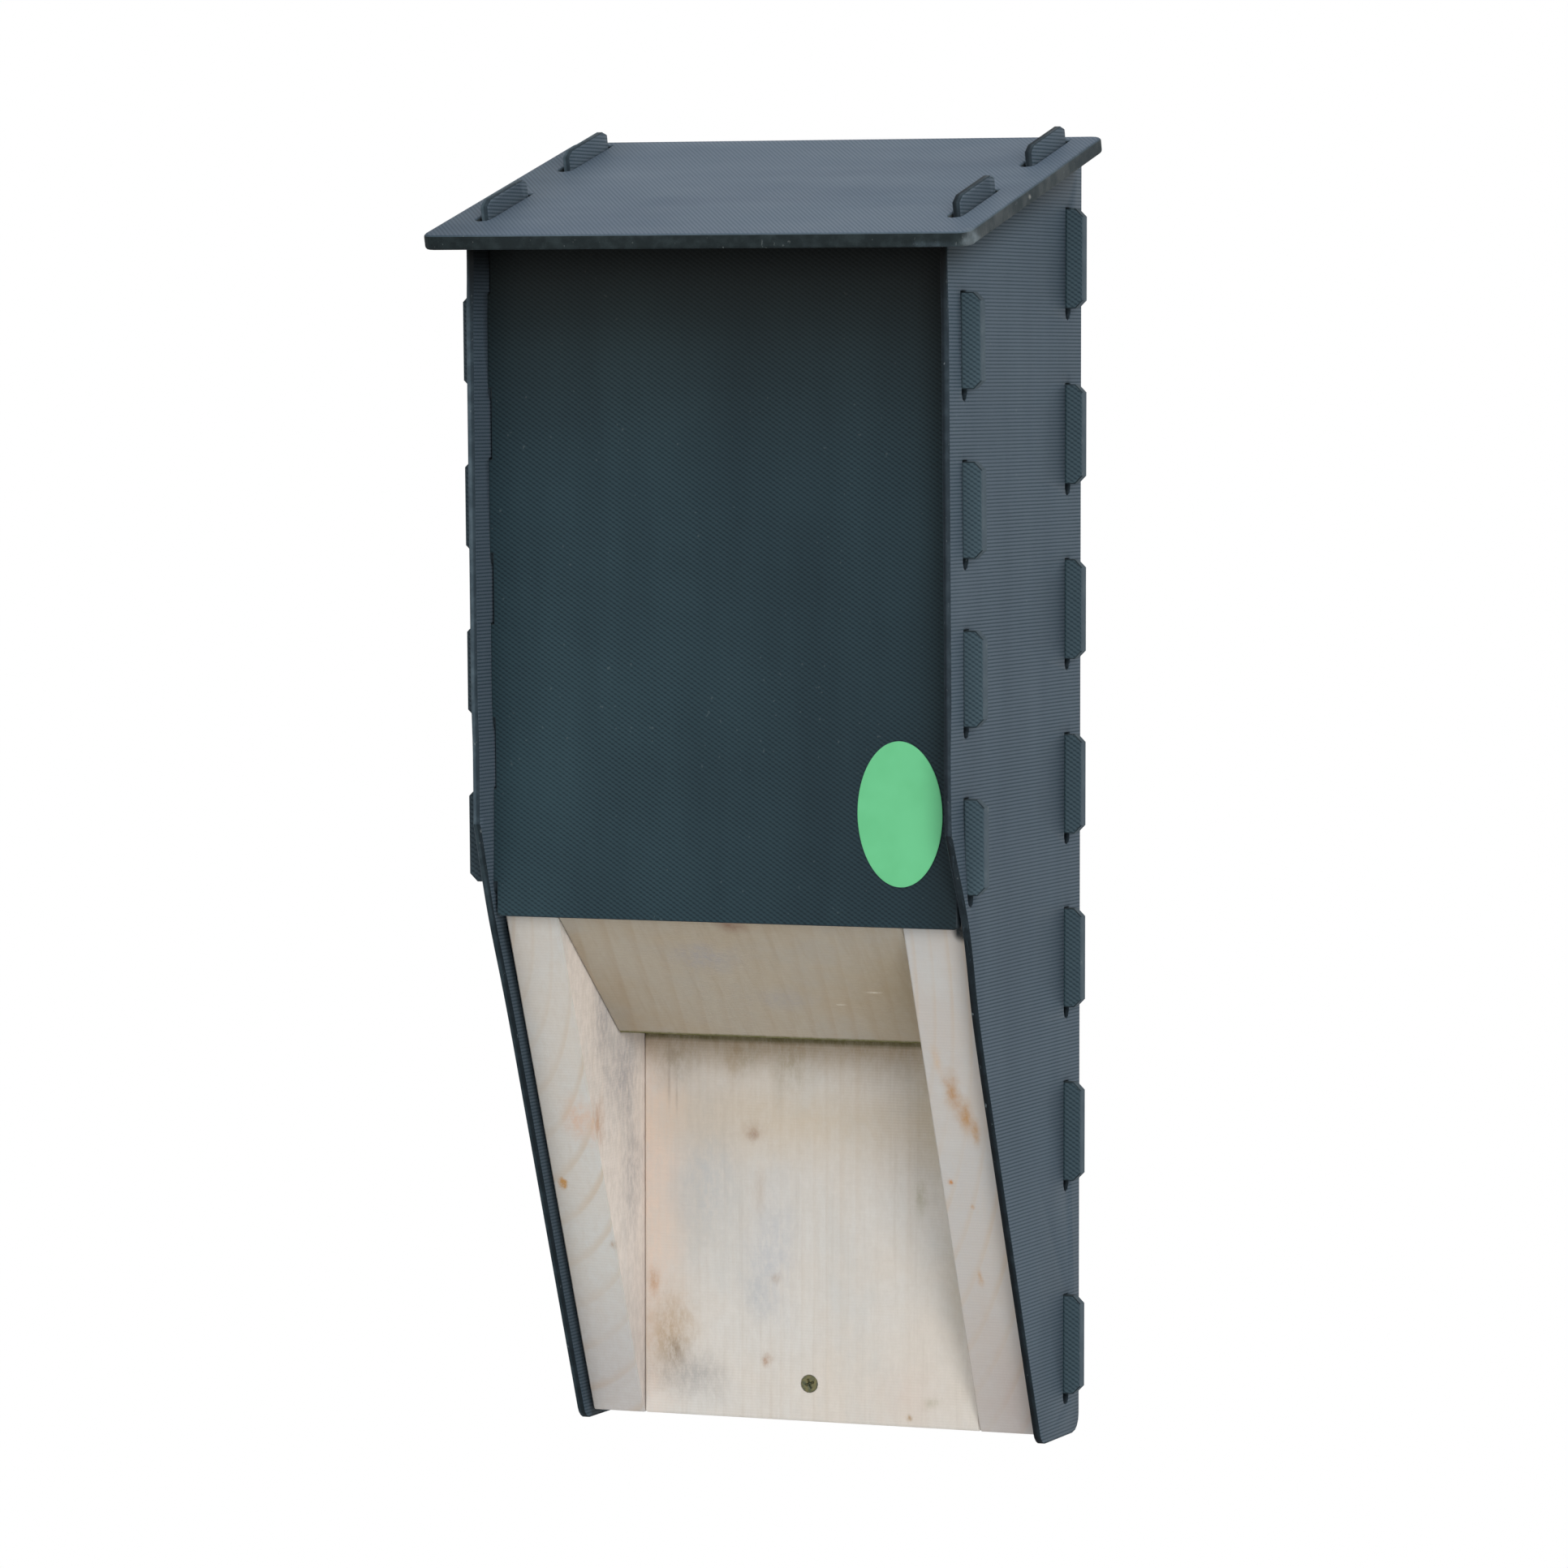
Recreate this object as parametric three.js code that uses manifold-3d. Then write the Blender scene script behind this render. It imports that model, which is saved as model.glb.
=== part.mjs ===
// Bat box: a shell of slotted and tabbed recycled plastic sheets round a timber liner.
// Units are millimetres. X runs to the right, the front faces -Y, +Z is up.
// The origin is on the wall plane, in the middle of the width, level with the feet of the side sheets.
import * as THREE from 'three';
import { mergeVertices } from 'three/addons/utils/BufferGeometryUtils.js';
import Module from 'manifold-3d';

const wasm = await Module();
wasm.setup();

// Shell, over all
const boxWidth = 200;
const sideDepth = 152.5;
const sideFrontHeight = 475.2;
const roofPitch = THREE.MathUtils.degToRad(14.8);
const frontLean = THREE.MathUtils.degToRad(1.4);

// Chords in each rounded corner
const arcSteps = 4;

// Sheets
const sideThickness = 3;
const sheetThickness = 5;
const roofThickness = 6;
const sheetArris = 0.4;
const roofArris = 1.1;
const roofArrisSteps = 3;
const seatGap = 0.3;

// Side sheets: the front edge leans back a little, then slants away to a narrow foot, past the lowest slot
const slotWall = 3.6;
const kinkRadius = 3;
const footDepth = 44;
const footRadius = 7;
const topCornerRadius = 2;

// Front and back sheets. The front one leans with the front edges of the side sheets.
const frontRecess = 14.3;
const frontFootHeight = 211.2;
const backRecess = 13.5;
const panelCornerRadius = 1.5;

// Tabs that lock the sheets, and the slots that they pass through
const tabChamfer = 3.2;
const tabFit = 0.3;
const slotSlack = 4.5;
const frontTabReach = 8.3;
const frontTabLength = 37;
const frontTabPitch = 64.8;
const frontTabFootMargin = 13.4;
const frontTabHeadMargin = 23;
const backTabReach = 7.1;
const backTabLength = 39.5;
const backTabPitch = 69.5;
const backTabFootMargin = 100;
const backTabHeadMargin = 20.6;
const backFootTabMargin = 14.4;
const roofTabReach = 6.6;
const roofTabLength = 40;
const roofTabPitch = 83.5;
const roofTabFrontMargin = 16.6;
const roofTabBackMargin = 6.8;
const roofTabCornerLength = 4.2;
const roofTabCornerDrop = 2;

// Roof sheet, measured along its slope from the top front corners of the side sheets
const roofFrontOverhang = 12;
const roofSideOverhang = 13.8;
const roofWallGap = 10.9;
const roofCornerRadius = 5;

// Keyhole that the box hangs on, high in the back sheet
const keyholeDrop = 92;
const keyholeHeadRadius = 6;
const keyholeNeckRadius = 2.75;
const keyholeTravel = 14;
const keyholePocketDepth = 8;
const keyholePocketMargin = 3;

// Timber liner
const linerFit = 0.3;
const boardArris = 0.6;
const boardEdgeRadius = 1.4;
const timberFoot = 2.9;
const leftCheekThickness = 22.5;
const rightCheekThickness = 25.5;
const cheekSetback = 7.8;
const cheekBendRadius = 5;
const backBoardThickness = 18;
const frontBoardThickness = 24;
const baffleThickness = 24;
const bafflePassage = 24;
const rampThickness = 15;
const rampPitch = THREE.MathUtils.degToRad(39.7);
const rampRise = 1.5;
const entranceSlot = 16;

// Grip grooves that the bats climb, sawn across the faces of the crevices
const grooveDepth = 1.2;
const grooveWidth = 2;
const groovePitch = 15;
const grooveMargin = 24;

// Countersunk wood screws
const screwHeadRadius = 3.5;
const screwHeadDepth = 2.2;
const screwRimDepth = 0.3;
const screwShankRadius = 1.75;
const screwPointLength = 5;
const screwRecessRadius = 2;
const screwRecessDepth = 1.4;
const screwRecessWidth = 0.8;
const screwClearance = 0.3;
const cheekScrewLength = 45;
const backScrewLength = 22;
const backScrewOffset = -2.1;
const backScrewFootHeight = 18.3;
const backScrewTopDrop = 46;
const boardScrewMargin = 34;
const rampScrewMargin = 14;

// Bare oval label on the front sheet
const labelHalfWidth = 17.5;
const labelHalfHeight = 28.2;
const labelThickness = 0.3;
const labelGlue = 0.1;
const labelSideGap = 5.8;
const labelRise = 44.1;

// Places worked out from the sizes above. Depth is measured back from the top front corners of the side
// sheets, and a distance back from the front is measured square to their leaning front edges.
const sideInner = boxWidth / 2 - sideThickness;
const sideMiddle = boxWidth / 2 - sideThickness / 2;
const frontPanelBack = frontRecess + sheetThickness;
const backPanelBack = sideDepth - backRecess;
const backPanelFront = backPanelBack - sheetThickness;
const slotWidth = sheetThickness + 2 * tabFit;
const linerFront = frontPanelBack + linerFit;
const linerBack = backPanelFront - linerFit;
const cheekOuter = sideInner - linerFit;
const boardFrom = leftCheekThickness + linerFit - cheekOuter;
const boardTo = cheekOuter - rightCheekThickness - linerFit;
const backBoardFront = linerBack - backBoardThickness;
const frontBoardBack = linerFront + frontBoardThickness;
const roofBackReach = (sideDepth - roofWallGap) / Math.cos(roofPitch);
const frontRise = sideFrontHeight - frontFootHeight;
const frontDrop = (frontRise + frontRecess * Math.sin(frontLean)) / Math.cos(frontLean);

// Lines of the section through the box, each a point [depth, height] and a direction
function roofLine(out) {
  return {
    point: [-out * Math.sin(roofPitch), sideFrontHeight + out * Math.cos(roofPitch)],
    direction: [Math.cos(roofPitch), Math.sin(roofPitch)],
  };
}

// A line up the lean of the front, from level with the front sheet's foot
function frontLine(back) {
  const sine = Math.sin(frontLean);
  const cosine = Math.cos(frontLean);
  return {
    point: [back * cosine + frontDrop * sine, sideFrontHeight + back * sine - frontDrop * cosine],
    direction: [-sine, cosine],
  };
}

function uprightLine(depth) {
  return { point: [depth, 0], direction: [0, 1] };
}

function levelLine(height) {
  return { point: [0, height], direction: [1, 0] };
}

// A point along a line, and how far along it a point lies
function along(line, distance) {
  return line.point.map((value, axis) => value + distance * line.direction[axis]);
}

function reachOf(line, [x, y]) {
  return (x - line.point[0]) * line.direction[0] + (y - line.point[1]) * line.direction[1];
}

// The point where two lines cross
function meet(first, second) {
  const [ax, ay] = first.direction;
  const [bx, by] = second.direction;
  const apartX = second.point[0] - first.point[0];
  const apartY = second.point[1] - first.point[1];
  return along(first, (apartX * by - apartY * bx) / (ax * by - ay * bx));
}

// The ramp falls back from the front sheet's foot and stops short of the back board by the entrance slot
const rampFore = meet(frontLine(linerFront), levelLine(frontFootHeight + rampRise));
const rampFall = [-Math.cos(rampPitch), Math.sin(rampPitch)];
const rampEndDepth = backBoardFront - entranceSlot - rampThickness * Math.sin(rampPitch);
const rampEnd = meet({ point: rampFore, direction: rampFall }, uprightLine(rampEndDepth));

// A line up the ramp's slope from its rear end
function rampLine(out) {
  return {
    point: [rampEnd[0] + out * Math.sin(rampPitch), rampEnd[1] + out * Math.cos(rampPitch)],
    direction: rampFall,
  };
}

// Heads of the sheets and boards lie just under the roof
const headLine = roofLine(-seatGap);
const frontHead = reachOf(frontLine(frontRecess), meet(frontLine(frontRecess), headLine));
const backHead = meet(uprightLine(backPanelFront), headLine)[1];

// The cheeks' slanted edges end at the back board
const cheekTop = [frontLine(frontRecess).point[0] + cheekSetback, frontFootHeight];
const cheekSlant = {
  point: [backBoardFront, timberFoot],
  direction: [cheekTop[0] - backBoardFront, cheekTop[1] - timberFoot],
};

// The baffle hangs midway between the foot of the front board and the back board
const frontBoardFoot = meet(frontLine(frontBoardBack), rampLine(rampThickness + seatGap));
const baffleMiddle = (frontBoardFoot[0] + backBoardFront) / 2;
const baffleFront = baffleMiddle - baffleThickness / 2;
const baffleBack = baffleMiddle + baffleThickness / 2;
const baffleFoot = meet(rampLine(rampThickness), uprightLine(baffleFront))[1] + bafflePassage;

// Points of an arc about a centre, both ends included
function arcPoints(x, y, radius, from, to, steps = arcSteps) {
  return Array.from({ length: steps + 1 }, (_, index) => {
    const angle = from + (to - from) * index / steps;
    return new THREE.Vector2(x + radius * Math.cos(angle), y + radius * Math.sin(angle));
  });
}

// One corner of an outline rounded by an arc, between the corners before and after it
function cornerPoints(before, [x, y, radius = 0], after) {
  if (radius === 0) return [new THREE.Vector2(x, y)];
  const toBefore = new THREE.Vector2(before[0] - x, before[1] - y).normalize();
  const toAfter = new THREE.Vector2(after[0] - x, after[1] - y).normalize();
  const halfAngle = Math.acos(THREE.MathUtils.clamp(toBefore.dot(toAfter), -1, 1)) / 2;
  const bisector = toBefore.clone().add(toAfter).normalize();
  const centre = new THREE.Vector2(x, y).addScaledVector(bisector, radius / Math.sin(halfAngle));
  const sweep = Math.PI - 2 * halfAngle;
  const turn = toBefore.cross(toAfter) > 0 ? -1 : 1;
  const middle = Math.atan2(-bisector.y, -bisector.x);
  return arcPoints(centre.x, centre.y, radius, middle - turn * sweep / 2, middle + turn * sweep / 2);
}

// Outline through corners [x, y, radius], counter-clockwise
function roundedOutline(corners) {
  const points = corners.flatMap((corner, index) => cornerPoints(
    corners[(index + corners.length - 1) % corners.length],
    corner,
    corners[(index + 1) % corners.length],
  ));
  return new THREE.Shape(points);
}

// Sheet or board cut to an outline, from z = 0 up, with both faces' edges eased
function cutPlate(outline, thickness, arris, steps = 1) {
  const geometry = new THREE.ExtrudeGeometry(outline, {
    depth: thickness - 2 * arris,
    bevelThickness: arris,
    bevelSize: arris,
    bevelOffset: -arris,
    bevelSegments: steps,
  });
  geometry.translate(0, 0, arris);
  return geometry;
}

function toSolid(geometry) {
  const bare = geometry.clone();
  bare.deleteAttribute('normal');
  bare.deleteAttribute('uv');
  const merged = mergeVertices(bare);
  return new wasm.Manifold(new wasm.Mesh({
    numProp: 3,
    vertProperties: new Float32Array(merged.attributes.position.array),
    triVerts: new Uint32Array(merged.index.array),
  }));
}

function toGeometry(solid) {
  const mesh = solid.getMesh();
  const geometry = new THREE.BufferGeometry();
  geometry.setAttribute('position', new THREE.BufferAttribute(new Float32Array(mesh.vertProperties), 3));
  geometry.setIndex(new THREE.BufferAttribute(new Uint32Array(mesh.triVerts), 1));
  const flat = geometry.toNonIndexed();
  flat.computeVertexNormals();
  return flat;
}

function cutAway(geometry, cutters) {
  let solid = toSolid(geometry);
  for (const cutter of cutters) solid = solid.subtract(toSolid(cutter));
  return toGeometry(solid);
}

// Materials
function sidePlastic() {
  return new THREE.MeshStandardMaterial({ color: 0x515d69, roughness: 0.62, metalness: 0 });
}

function frontPlastic() {
  return new THREE.MeshStandardMaterial({ color: 0x27363d, roughness: 0.66, metalness: 0 });
}

function roofPlastic() {
  return new THREE.MeshStandardMaterial({ color: 0x5b6672, roughness: 0.6, metalness: 0 });
}

function sawnTimber() {
  return new THREE.MeshStandardMaterial({ color: 0xc9bfae, roughness: 0.82, metalness: 0 });
}

function zincPlate() {
  return new THREE.MeshStandardMaterial({ color: 0x9a8f62, roughness: 0.38, metalness: 0.9 });
}

function labelVinyl() {
  return new THREE.MeshStandardMaterial({ color: 0x6bc48f, roughness: 0.45, metalness: 0 });
}

function piece(name, geometry, material) {
  const mesh = new THREE.Mesh(geometry, material);
  mesh.name = name;
  return mesh;
}

// Middles of an even row of tabs that fills a stretch, as near as it can be to a pitch
function tabRow(from, to, length, pitch) {
  const span = to - from - length;
  const gaps = Math.max(1, Math.round(span / pitch));
  return Array.from({ length: gaps + 1 }, (_, index) => from + length / 2 + index * span / gaps);
}

// Of the front sheet as distances up from its foot, and of the back sheet as heights
function frontTabPlaces() {
  return tabRow(frontTabFootMargin, frontHead - frontTabHeadMargin, frontTabLength, frontTabPitch);
}

function backTabPlaces() {
  const from = timberFoot + backTabFootMargin;
  const row = tabRow(from, backHead - backTabHeadMargin, backTabLength, backTabPitch);
  return [timberFoot + backFootTabMargin + backTabLength / 2, ...row];
}

// Of the side sheets along the roof's slope
function roofTabPlaces() {
  return tabRow(roofTabFrontMargin, roofBackReach - roofTabBackMargin, roofTabLength, roofTabPitch);
}

// The slanted front edge of a side sheet passes the foot of the lowest slot at the width of the slot wall
function slantLine() {
  const slotFoot = frontTabPlaces()[0] - frontTabLength / 2 - slotSlack + slotWidth / 2;
  const [x, y] = along(frontLine(frontRecess + sheetThickness / 2), slotFoot);
  const toe = [sideDepth - footDepth, 0];
  const reach = Math.hypot(x - toe[0], y - toe[1]);
  const angle = Math.atan2(y - toe[1], x - toe[0]) + Math.asin((slotWidth / 2 + slotWall) / reach);
  return { point: toe, direction: [Math.cos(angle), Math.sin(angle)] };
}

// Slot with a square head and a round foot that drops below the tab, about a line that runs up its middle
function slotPath(middleLine, tabMiddle, tabLength) {
  const radius = slotWidth / 2;
  const head = tabMiddle + tabLength / 2 + tabFit;
  const foot = tabMiddle - tabLength / 2 - slotSlack;
  const [x, y] = middleLine.point;
  const turn = Math.atan2(middleLine.direction[1], middleLine.direction[0]) - Math.PI / 2;
  const points = [
    new THREE.Vector2(-radius, head),
    ...arcPoints(0, foot + radius, radius, Math.PI, 2 * Math.PI),
    new THREE.Vector2(radius, head),
  ];
  const origin = new THREE.Vector2();
  return new THREE.Path(points.map((point) => point.rotateAround(origin, turn).add(new THREE.Vector2(x, y))));
}

// Side sheet: an outline in depth and height with tabs on its sloping head and slots for both panels
function sideOutline() {
  const head = roofThickness + roofTabReach;
  const corners = [
    [...slantLine().point, footRadius],
    [sideDepth, 0, footRadius],
    [...meet(uprightLine(sideDepth), headLine), topCornerRadius],
  ];
  for (const place of roofTabPlaces().reverse()) {
    const rear = place + roofTabLength / 2;
    const fore = place - roofTabLength / 2;
    corners.push(
      along(headLine, rear),
      along(roofLine(head - roofTabCornerDrop), rear),
      along(roofLine(head), rear - roofTabCornerLength),
      along(roofLine(head), fore + roofTabCornerLength),
      along(roofLine(head - roofTabCornerDrop), fore),
      along(headLine, fore),
    );
  }
  corners.push([...meet(frontLine(0), headLine), topCornerRadius]);
  corners.push([...meet(frontLine(0), slantLine()), kinkRadius]);
  const outline = roundedOutline(corners);
  const frontMiddle = frontLine(frontRecess + sheetThickness / 2);
  const backMiddle = uprightLine(backPanelBack - sheetThickness / 2);
  outline.holes.push(
    ...frontTabPlaces().map((place) => slotPath(frontMiddle, place, frontTabLength)),
    ...backTabPlaces().map((place) => slotPath(backMiddle, place, backTabLength)),
  );
  return outline;
}

function sideSheet(name, inner) {
  const mesh = piece(name, cutPlate(sideOutline(), sideThickness, sheetArris), sidePlastic());
  mesh.position.z = inner;
  return mesh;
}

// Front or back sheet: a rectangle with chamfered tabs along both long edges
function tabbedPanelOutline(foot, head, tabPlaces, tabLength, tabReach) {
  const edge = sideInner - tabFit;
  const reach = boxWidth / 2 + tabReach;
  const right = [[edge, foot, panelCornerRadius]];
  for (const place of tabPlaces) {
    const low = place - tabLength / 2;
    const high = place + tabLength / 2;
    right.push(
      [edge, low],
      [reach - tabChamfer, low],
      [reach, low + tabChamfer],
      [reach, high - tabChamfer],
      [reach - tabChamfer, high],
      [edge, high],
    );
  }
  right.push([edge, head, panelCornerRadius]);
  const left = right.map(([x, y, radius]) => [-x, y, radius]).reverse();
  return roundedOutline([...right, ...left]);
}

// The front sheet is drawn up from its foot, with its lean given to the finished mesh
function frontPanel() {
  const outline = tabbedPanelOutline(0, frontHead, frontTabPlaces(), frontTabLength, frontTabReach);
  const mesh = piece('front_panel', cutPlate(outline, sheetThickness, sheetArris), frontPlastic());
  mesh.rotation.set(0, -Math.PI / 2, frontLean, 'ZYX');
  mesh.position.set(...frontLine(frontPanelBack).point, 0);
  return mesh;
}

// Keyhole outline: a round hole for a screw head with a narrow neck above it
function keyholePoints(margin) {
  const head = keyholeHeadRadius + margin;
  const neck = keyholeNeckRadius + margin;
  const spread = Math.asin(neck / head);
  const height = backHead - keyholeDrop;
  return [
    ...arcPoints(0, height, head, Math.PI / 2 + spread, 5 * Math.PI / 2 - spread, 4 * arcSteps),
    ...arcPoints(0, height + keyholeTravel, neck, 0, Math.PI, 2 * arcSteps),
  ];
}

function backPanel() {
  const outline = tabbedPanelOutline(timberFoot, backHead, backTabPlaces(), backTabLength, backTabReach);
  outline.holes.push(new THREE.Path(keyholePoints(0)));
  const whole = cutPlate(outline, sheetThickness, sheetArris);
  const mesh = piece('back_panel', cutAway(whole, backScrewBores(panelFrame())), frontPlastic());
  mesh.rotation.y = -Math.PI / 2;
  mesh.position.x = backPanelBack;
  return mesh;
}

// Turns a shape given in depth, height and width into the back sheet's own frame
function panelFrame() {
  const frame = new THREE.Matrix4().makeRotationY(-Math.PI / 2);
  frame.setPosition(backPanelBack, 0, 0);
  return frame.invert();
}

// Roof sheet with a slot over each tab of the side sheets
function roof() {
  const half = boxWidth / 2 + roofSideOverhang;
  const outline = roundedOutline([
    [-half, -roofFrontOverhang, roofCornerRadius],
    [half, -roofFrontOverhang, roofCornerRadius],
    [half, roofBackReach, roofCornerRadius],
    [-half, roofBackReach, roofCornerRadius],
  ]);
  for (const side of [-1, 1]) {
    for (const place of roofTabPlaces()) {
      outline.holes.push(slotPath(uprightLine(side * sideMiddle), place, roofTabLength));
    }
  }
  const plate = cutPlate(outline, roofThickness, roofArris, roofArrisSteps);
  const mesh = piece('roof', plate, roofPlastic());
  mesh.rotation.x = roofPitch;
  mesh.position.set(0, -sideDepth, sideFrontHeight);
  return mesh;
}

// Screw about its own Y axis: head at y = 0, point downwards
function screwProfile(length, margin) {
  const head = screwHeadRadius + margin;
  const shank = screwShankRadius + margin;
  const points = [
    new THREE.Vector2(0, -length - margin),
    new THREE.Vector2(shank, screwPointLength - length - margin),
    new THREE.Vector2(shank, -screwHeadDepth),
    new THREE.Vector2(head, -screwRimDepth),
    new THREE.Vector2(head, 0),
    new THREE.Vector2(0, 0),
  ];
  if (margin > 0) points.splice(4, 2, new THREE.Vector2(head, margin), new THREE.Vector2(0, margin));
  return new THREE.LatheGeometry(points, 14);
}

// Cross recess in a screw head: two crossed blades
function crossRecess() {
  return [0, Math.PI / 2].map((turn) => {
    const blade = new THREE.BoxGeometry(2 * screwRecessRadius, 2 * screwRecessDepth, screwRecessWidth);
    return blade.rotateY(turn);
  });
}

function screwGeometry(length) {
  return cutAway(screwProfile(length, 0), crossRecess());
}

// Places of the cheek screws, each in the middle of a board's thickness
function cheekScrewPlaces() {
  const backMiddle = uprightLine((backBoardFront + linerBack) / 2);
  const frontMiddle = frontLine((linerFront + frontBoardBack) / 2);
  const baffleLine = uprightLine(baffleMiddle);
  const rampMiddle = rampLine(rampThickness / 2);
  const backLow = timberFoot + boardScrewMargin;
  const backHigh = meet(backMiddle, headLine)[1] - boardScrewMargin;
  const frontLow = meet(frontMiddle, rampLine(rampThickness))[1] + boardScrewMargin;
  const frontHigh = meet(frontMiddle, headLine)[1] - boardScrewMargin;
  const baffleHigh = meet(baffleLine, headLine)[1] - boardScrewMargin;
  const rampHigh = meet(rampMiddle, frontLine(linerFront + rampScrewMargin));
  return [
    { name: 'back_board_low', place: meet(backMiddle, levelLine(backLow)) },
    { name: 'back_board_mid', place: meet(backMiddle, levelLine((backLow + backHigh) / 2)) },
    { name: 'back_board_high', place: meet(backMiddle, levelLine(backHigh)) },
    { name: 'front_board_low', place: meet(frontMiddle, levelLine(frontLow)) },
    { name: 'front_board_high', place: meet(frontMiddle, levelLine(frontHigh)) },
    { name: 'baffle_low', place: meet(baffleLine, levelLine(baffleFoot + boardScrewMargin)) },
    { name: 'baffle_high', place: meet(baffleLine, levelLine(baffleHigh)) },
    { name: 'ramp_front', place: rampHigh },
    { name: 'ramp_back', place: along(rampMiddle, rampScrewMargin) },
  ];
}

function turnedScrew(geometry, side, place) {
  return geometry.rotateX(side * Math.PI / 2).translate(...place, side * cheekOuter);
}

function cheekScrewBores(sides) {
  const profile = () => screwProfile(cheekScrewLength, screwClearance);
  return sides.flatMap((side) => cheekScrewPlaces().map(({ place }) => turnedScrew(profile(), side, place)));
}

function cheekScrews() {
  const shape = screwGeometry(cheekScrewLength);
  const sides = [{ side: -1, word: 'left' }, { side: 1, word: 'right' }];
  return sides.flatMap(({ side, word }) => cheekScrewPlaces().map(({ name, place }) => {
    const mesh = piece(`screw_${name}_${word}`, shape, zincPlate());
    mesh.rotation.x = side * Math.PI / 2;
    mesh.position.set(...place, side * cheekOuter);
    return mesh;
  }));
}

// The two screws that hold the liner to the back sheet
function backScrewPlaces() {
  return [
    { name: 'screw_back_low', height: backScrewFootHeight },
    { name: 'screw_back_high', height: meet(uprightLine(backBoardFront), headLine)[1] - backScrewTopDrop },
  ];
}

function backScrewBores(frame = new THREE.Matrix4()) {
  return backScrewPlaces().map(({ height }) => screwProfile(backScrewLength, screwClearance)
    .rotateZ(Math.PI / 2)
    .translate(backBoardFront, height, backScrewOffset)
    .applyMatrix4(frame));
}

function backScrews() {
  const shape = screwGeometry(backScrewLength);
  return backScrewPlaces().map(({ name, height }) => {
    const mesh = piece(name, shape, zincPlate());
    mesh.rotation.z = Math.PI / 2;
    mesh.position.set(backBoardFront, height, backScrewOffset);
    return mesh;
  });
}

// Saw kerfs across a board's face, from a foot height to a head height on a line of the section
function gripGrooves(face, foot, head) {
  const count = Math.floor((head - foot - 2 * grooveMargin) / groovePitch) + 1;
  const length = boardTo - boardFrom - 2 * grooveMargin;
  return Array.from({ length: count }, (_, index) => {
    const kerf = new THREE.BoxGeometry(2 * grooveDepth, grooveWidth, length);
    const middle = meet(face, levelLine(foot + grooveMargin + index * groovePitch));
    return kerf.translate(...middle, (boardFrom + boardTo) / 2);
  });
}

// Board across the liner between the lines of its section: foot, back, head and front
function crossBoard(name, [foot, back, head, front], cutters) {
  const corners = [meet(front, foot), meet(foot, back), meet(back, head), meet(head, front)];
  const section = roundedOutline(corners.map((corner) => [...corner, boardEdgeRadius]));
  const plate = cutPlate(section, boardTo - boardFrom, boardArris).translate(0, 0, boardFrom);
  return piece(name, cutAway(plate, [...cheekScrewBores([-1, 1]), ...cutters]), sawnTimber());
}

// Cheek: full depth under the roof, then its front edge slants back to the back board's face
function cheek(name, side) {
  const foot = levelLine(timberFoot);
  const back = uprightLine(linerBack);
  const front = frontLine(linerFront);
  const outline = roundedOutline([
    [...meet(cheekSlant, foot), boardEdgeRadius],
    [...meet(foot, back), boardEdgeRadius],
    [...meet(back, headLine), boardEdgeRadius],
    [...meet(headLine, front), boardEdgeRadius],
    [...meet(front, cheekSlant), cheekBendRadius],
  ]);
  const thickness = side > 0 ? rightCheekThickness : leftCheekThickness;
  const leftFace = side > 0 ? cheekOuter - thickness : -cheekOuter;
  const plate = cutPlate(outline, thickness, boardArris).translate(0, 0, leftFace);
  return piece(name, cutAway(plate, cheekScrewBores([side])), sawnTimber());
}

function backBoard() {
  const face = uprightLine(backBoardFront);
  const pocket = new THREE.ExtrudeGeometry(new THREE.Shape(keyholePoints(keyholePocketMargin)), {
    depth: 2 * keyholePocketDepth,
    bevelEnabled: false,
  });
  pocket.rotateY(-Math.PI / 2).translate(linerBack + keyholePocketDepth, 0, 0);
  return crossBoard('back_board', [levelLine(timberFoot), uprightLine(linerBack), headLine, face], [
    ...backScrewBores(),
    ...gripGrooves(face, rampEnd[1], backHead),
    pocket,
  ]);
}

function frontBoard() {
  const foot = rampLine(rampThickness + seatGap);
  const face = frontLine(frontBoardBack);
  return crossBoard('front_board', [foot, face, headLine, frontLine(linerFront)], [
    ...gripGrooves(face, frontBoardFoot[1], meet(face, headLine)[1]),
  ]);
}

function centreBaffle() {
  const faces = [uprightLine(baffleFront), uprightLine(baffleBack)];
  const head = meet(faces[0], headLine)[1];
  return crossBoard('centre_baffle', [levelLine(baffleFoot), faces[1], headLine, faces[0]], [
    ...faces.flatMap((face) => gripGrooves(face, baffleFoot, head)),
  ]);
}

// Entrance ramp: slopes down and back from the front sheet, square-ended, to leave the way in behind it
function entranceRamp() {
  const rear = { point: rampLine(0).point, direction: [Math.sin(rampPitch), Math.cos(rampPitch)] };
  return crossBoard('entrance_ramp', [rampLine(0), rear, rampLine(rampThickness), frontLine(linerFront)], []);
}

function label() {
  const oval = new THREE.Shape().absellipse(0, 0, labelHalfWidth, labelHalfHeight, 0, 2 * Math.PI);
  const geometry = new THREE.ExtrudeGeometry(oval, {
    depth: labelThickness,
    bevelEnabled: false,
    curveSegments: 20,
  });
  const mesh = piece('label', geometry, labelVinyl());
  mesh.rotation.set(0, -Math.PI / 2, frontLean, 'ZYX');
  const across = sideInner - labelSideGap - labelHalfWidth;
  mesh.position.set(...along(frontLine(frontRecess - labelGlue), labelRise), across);
  return mesh;
}

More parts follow.
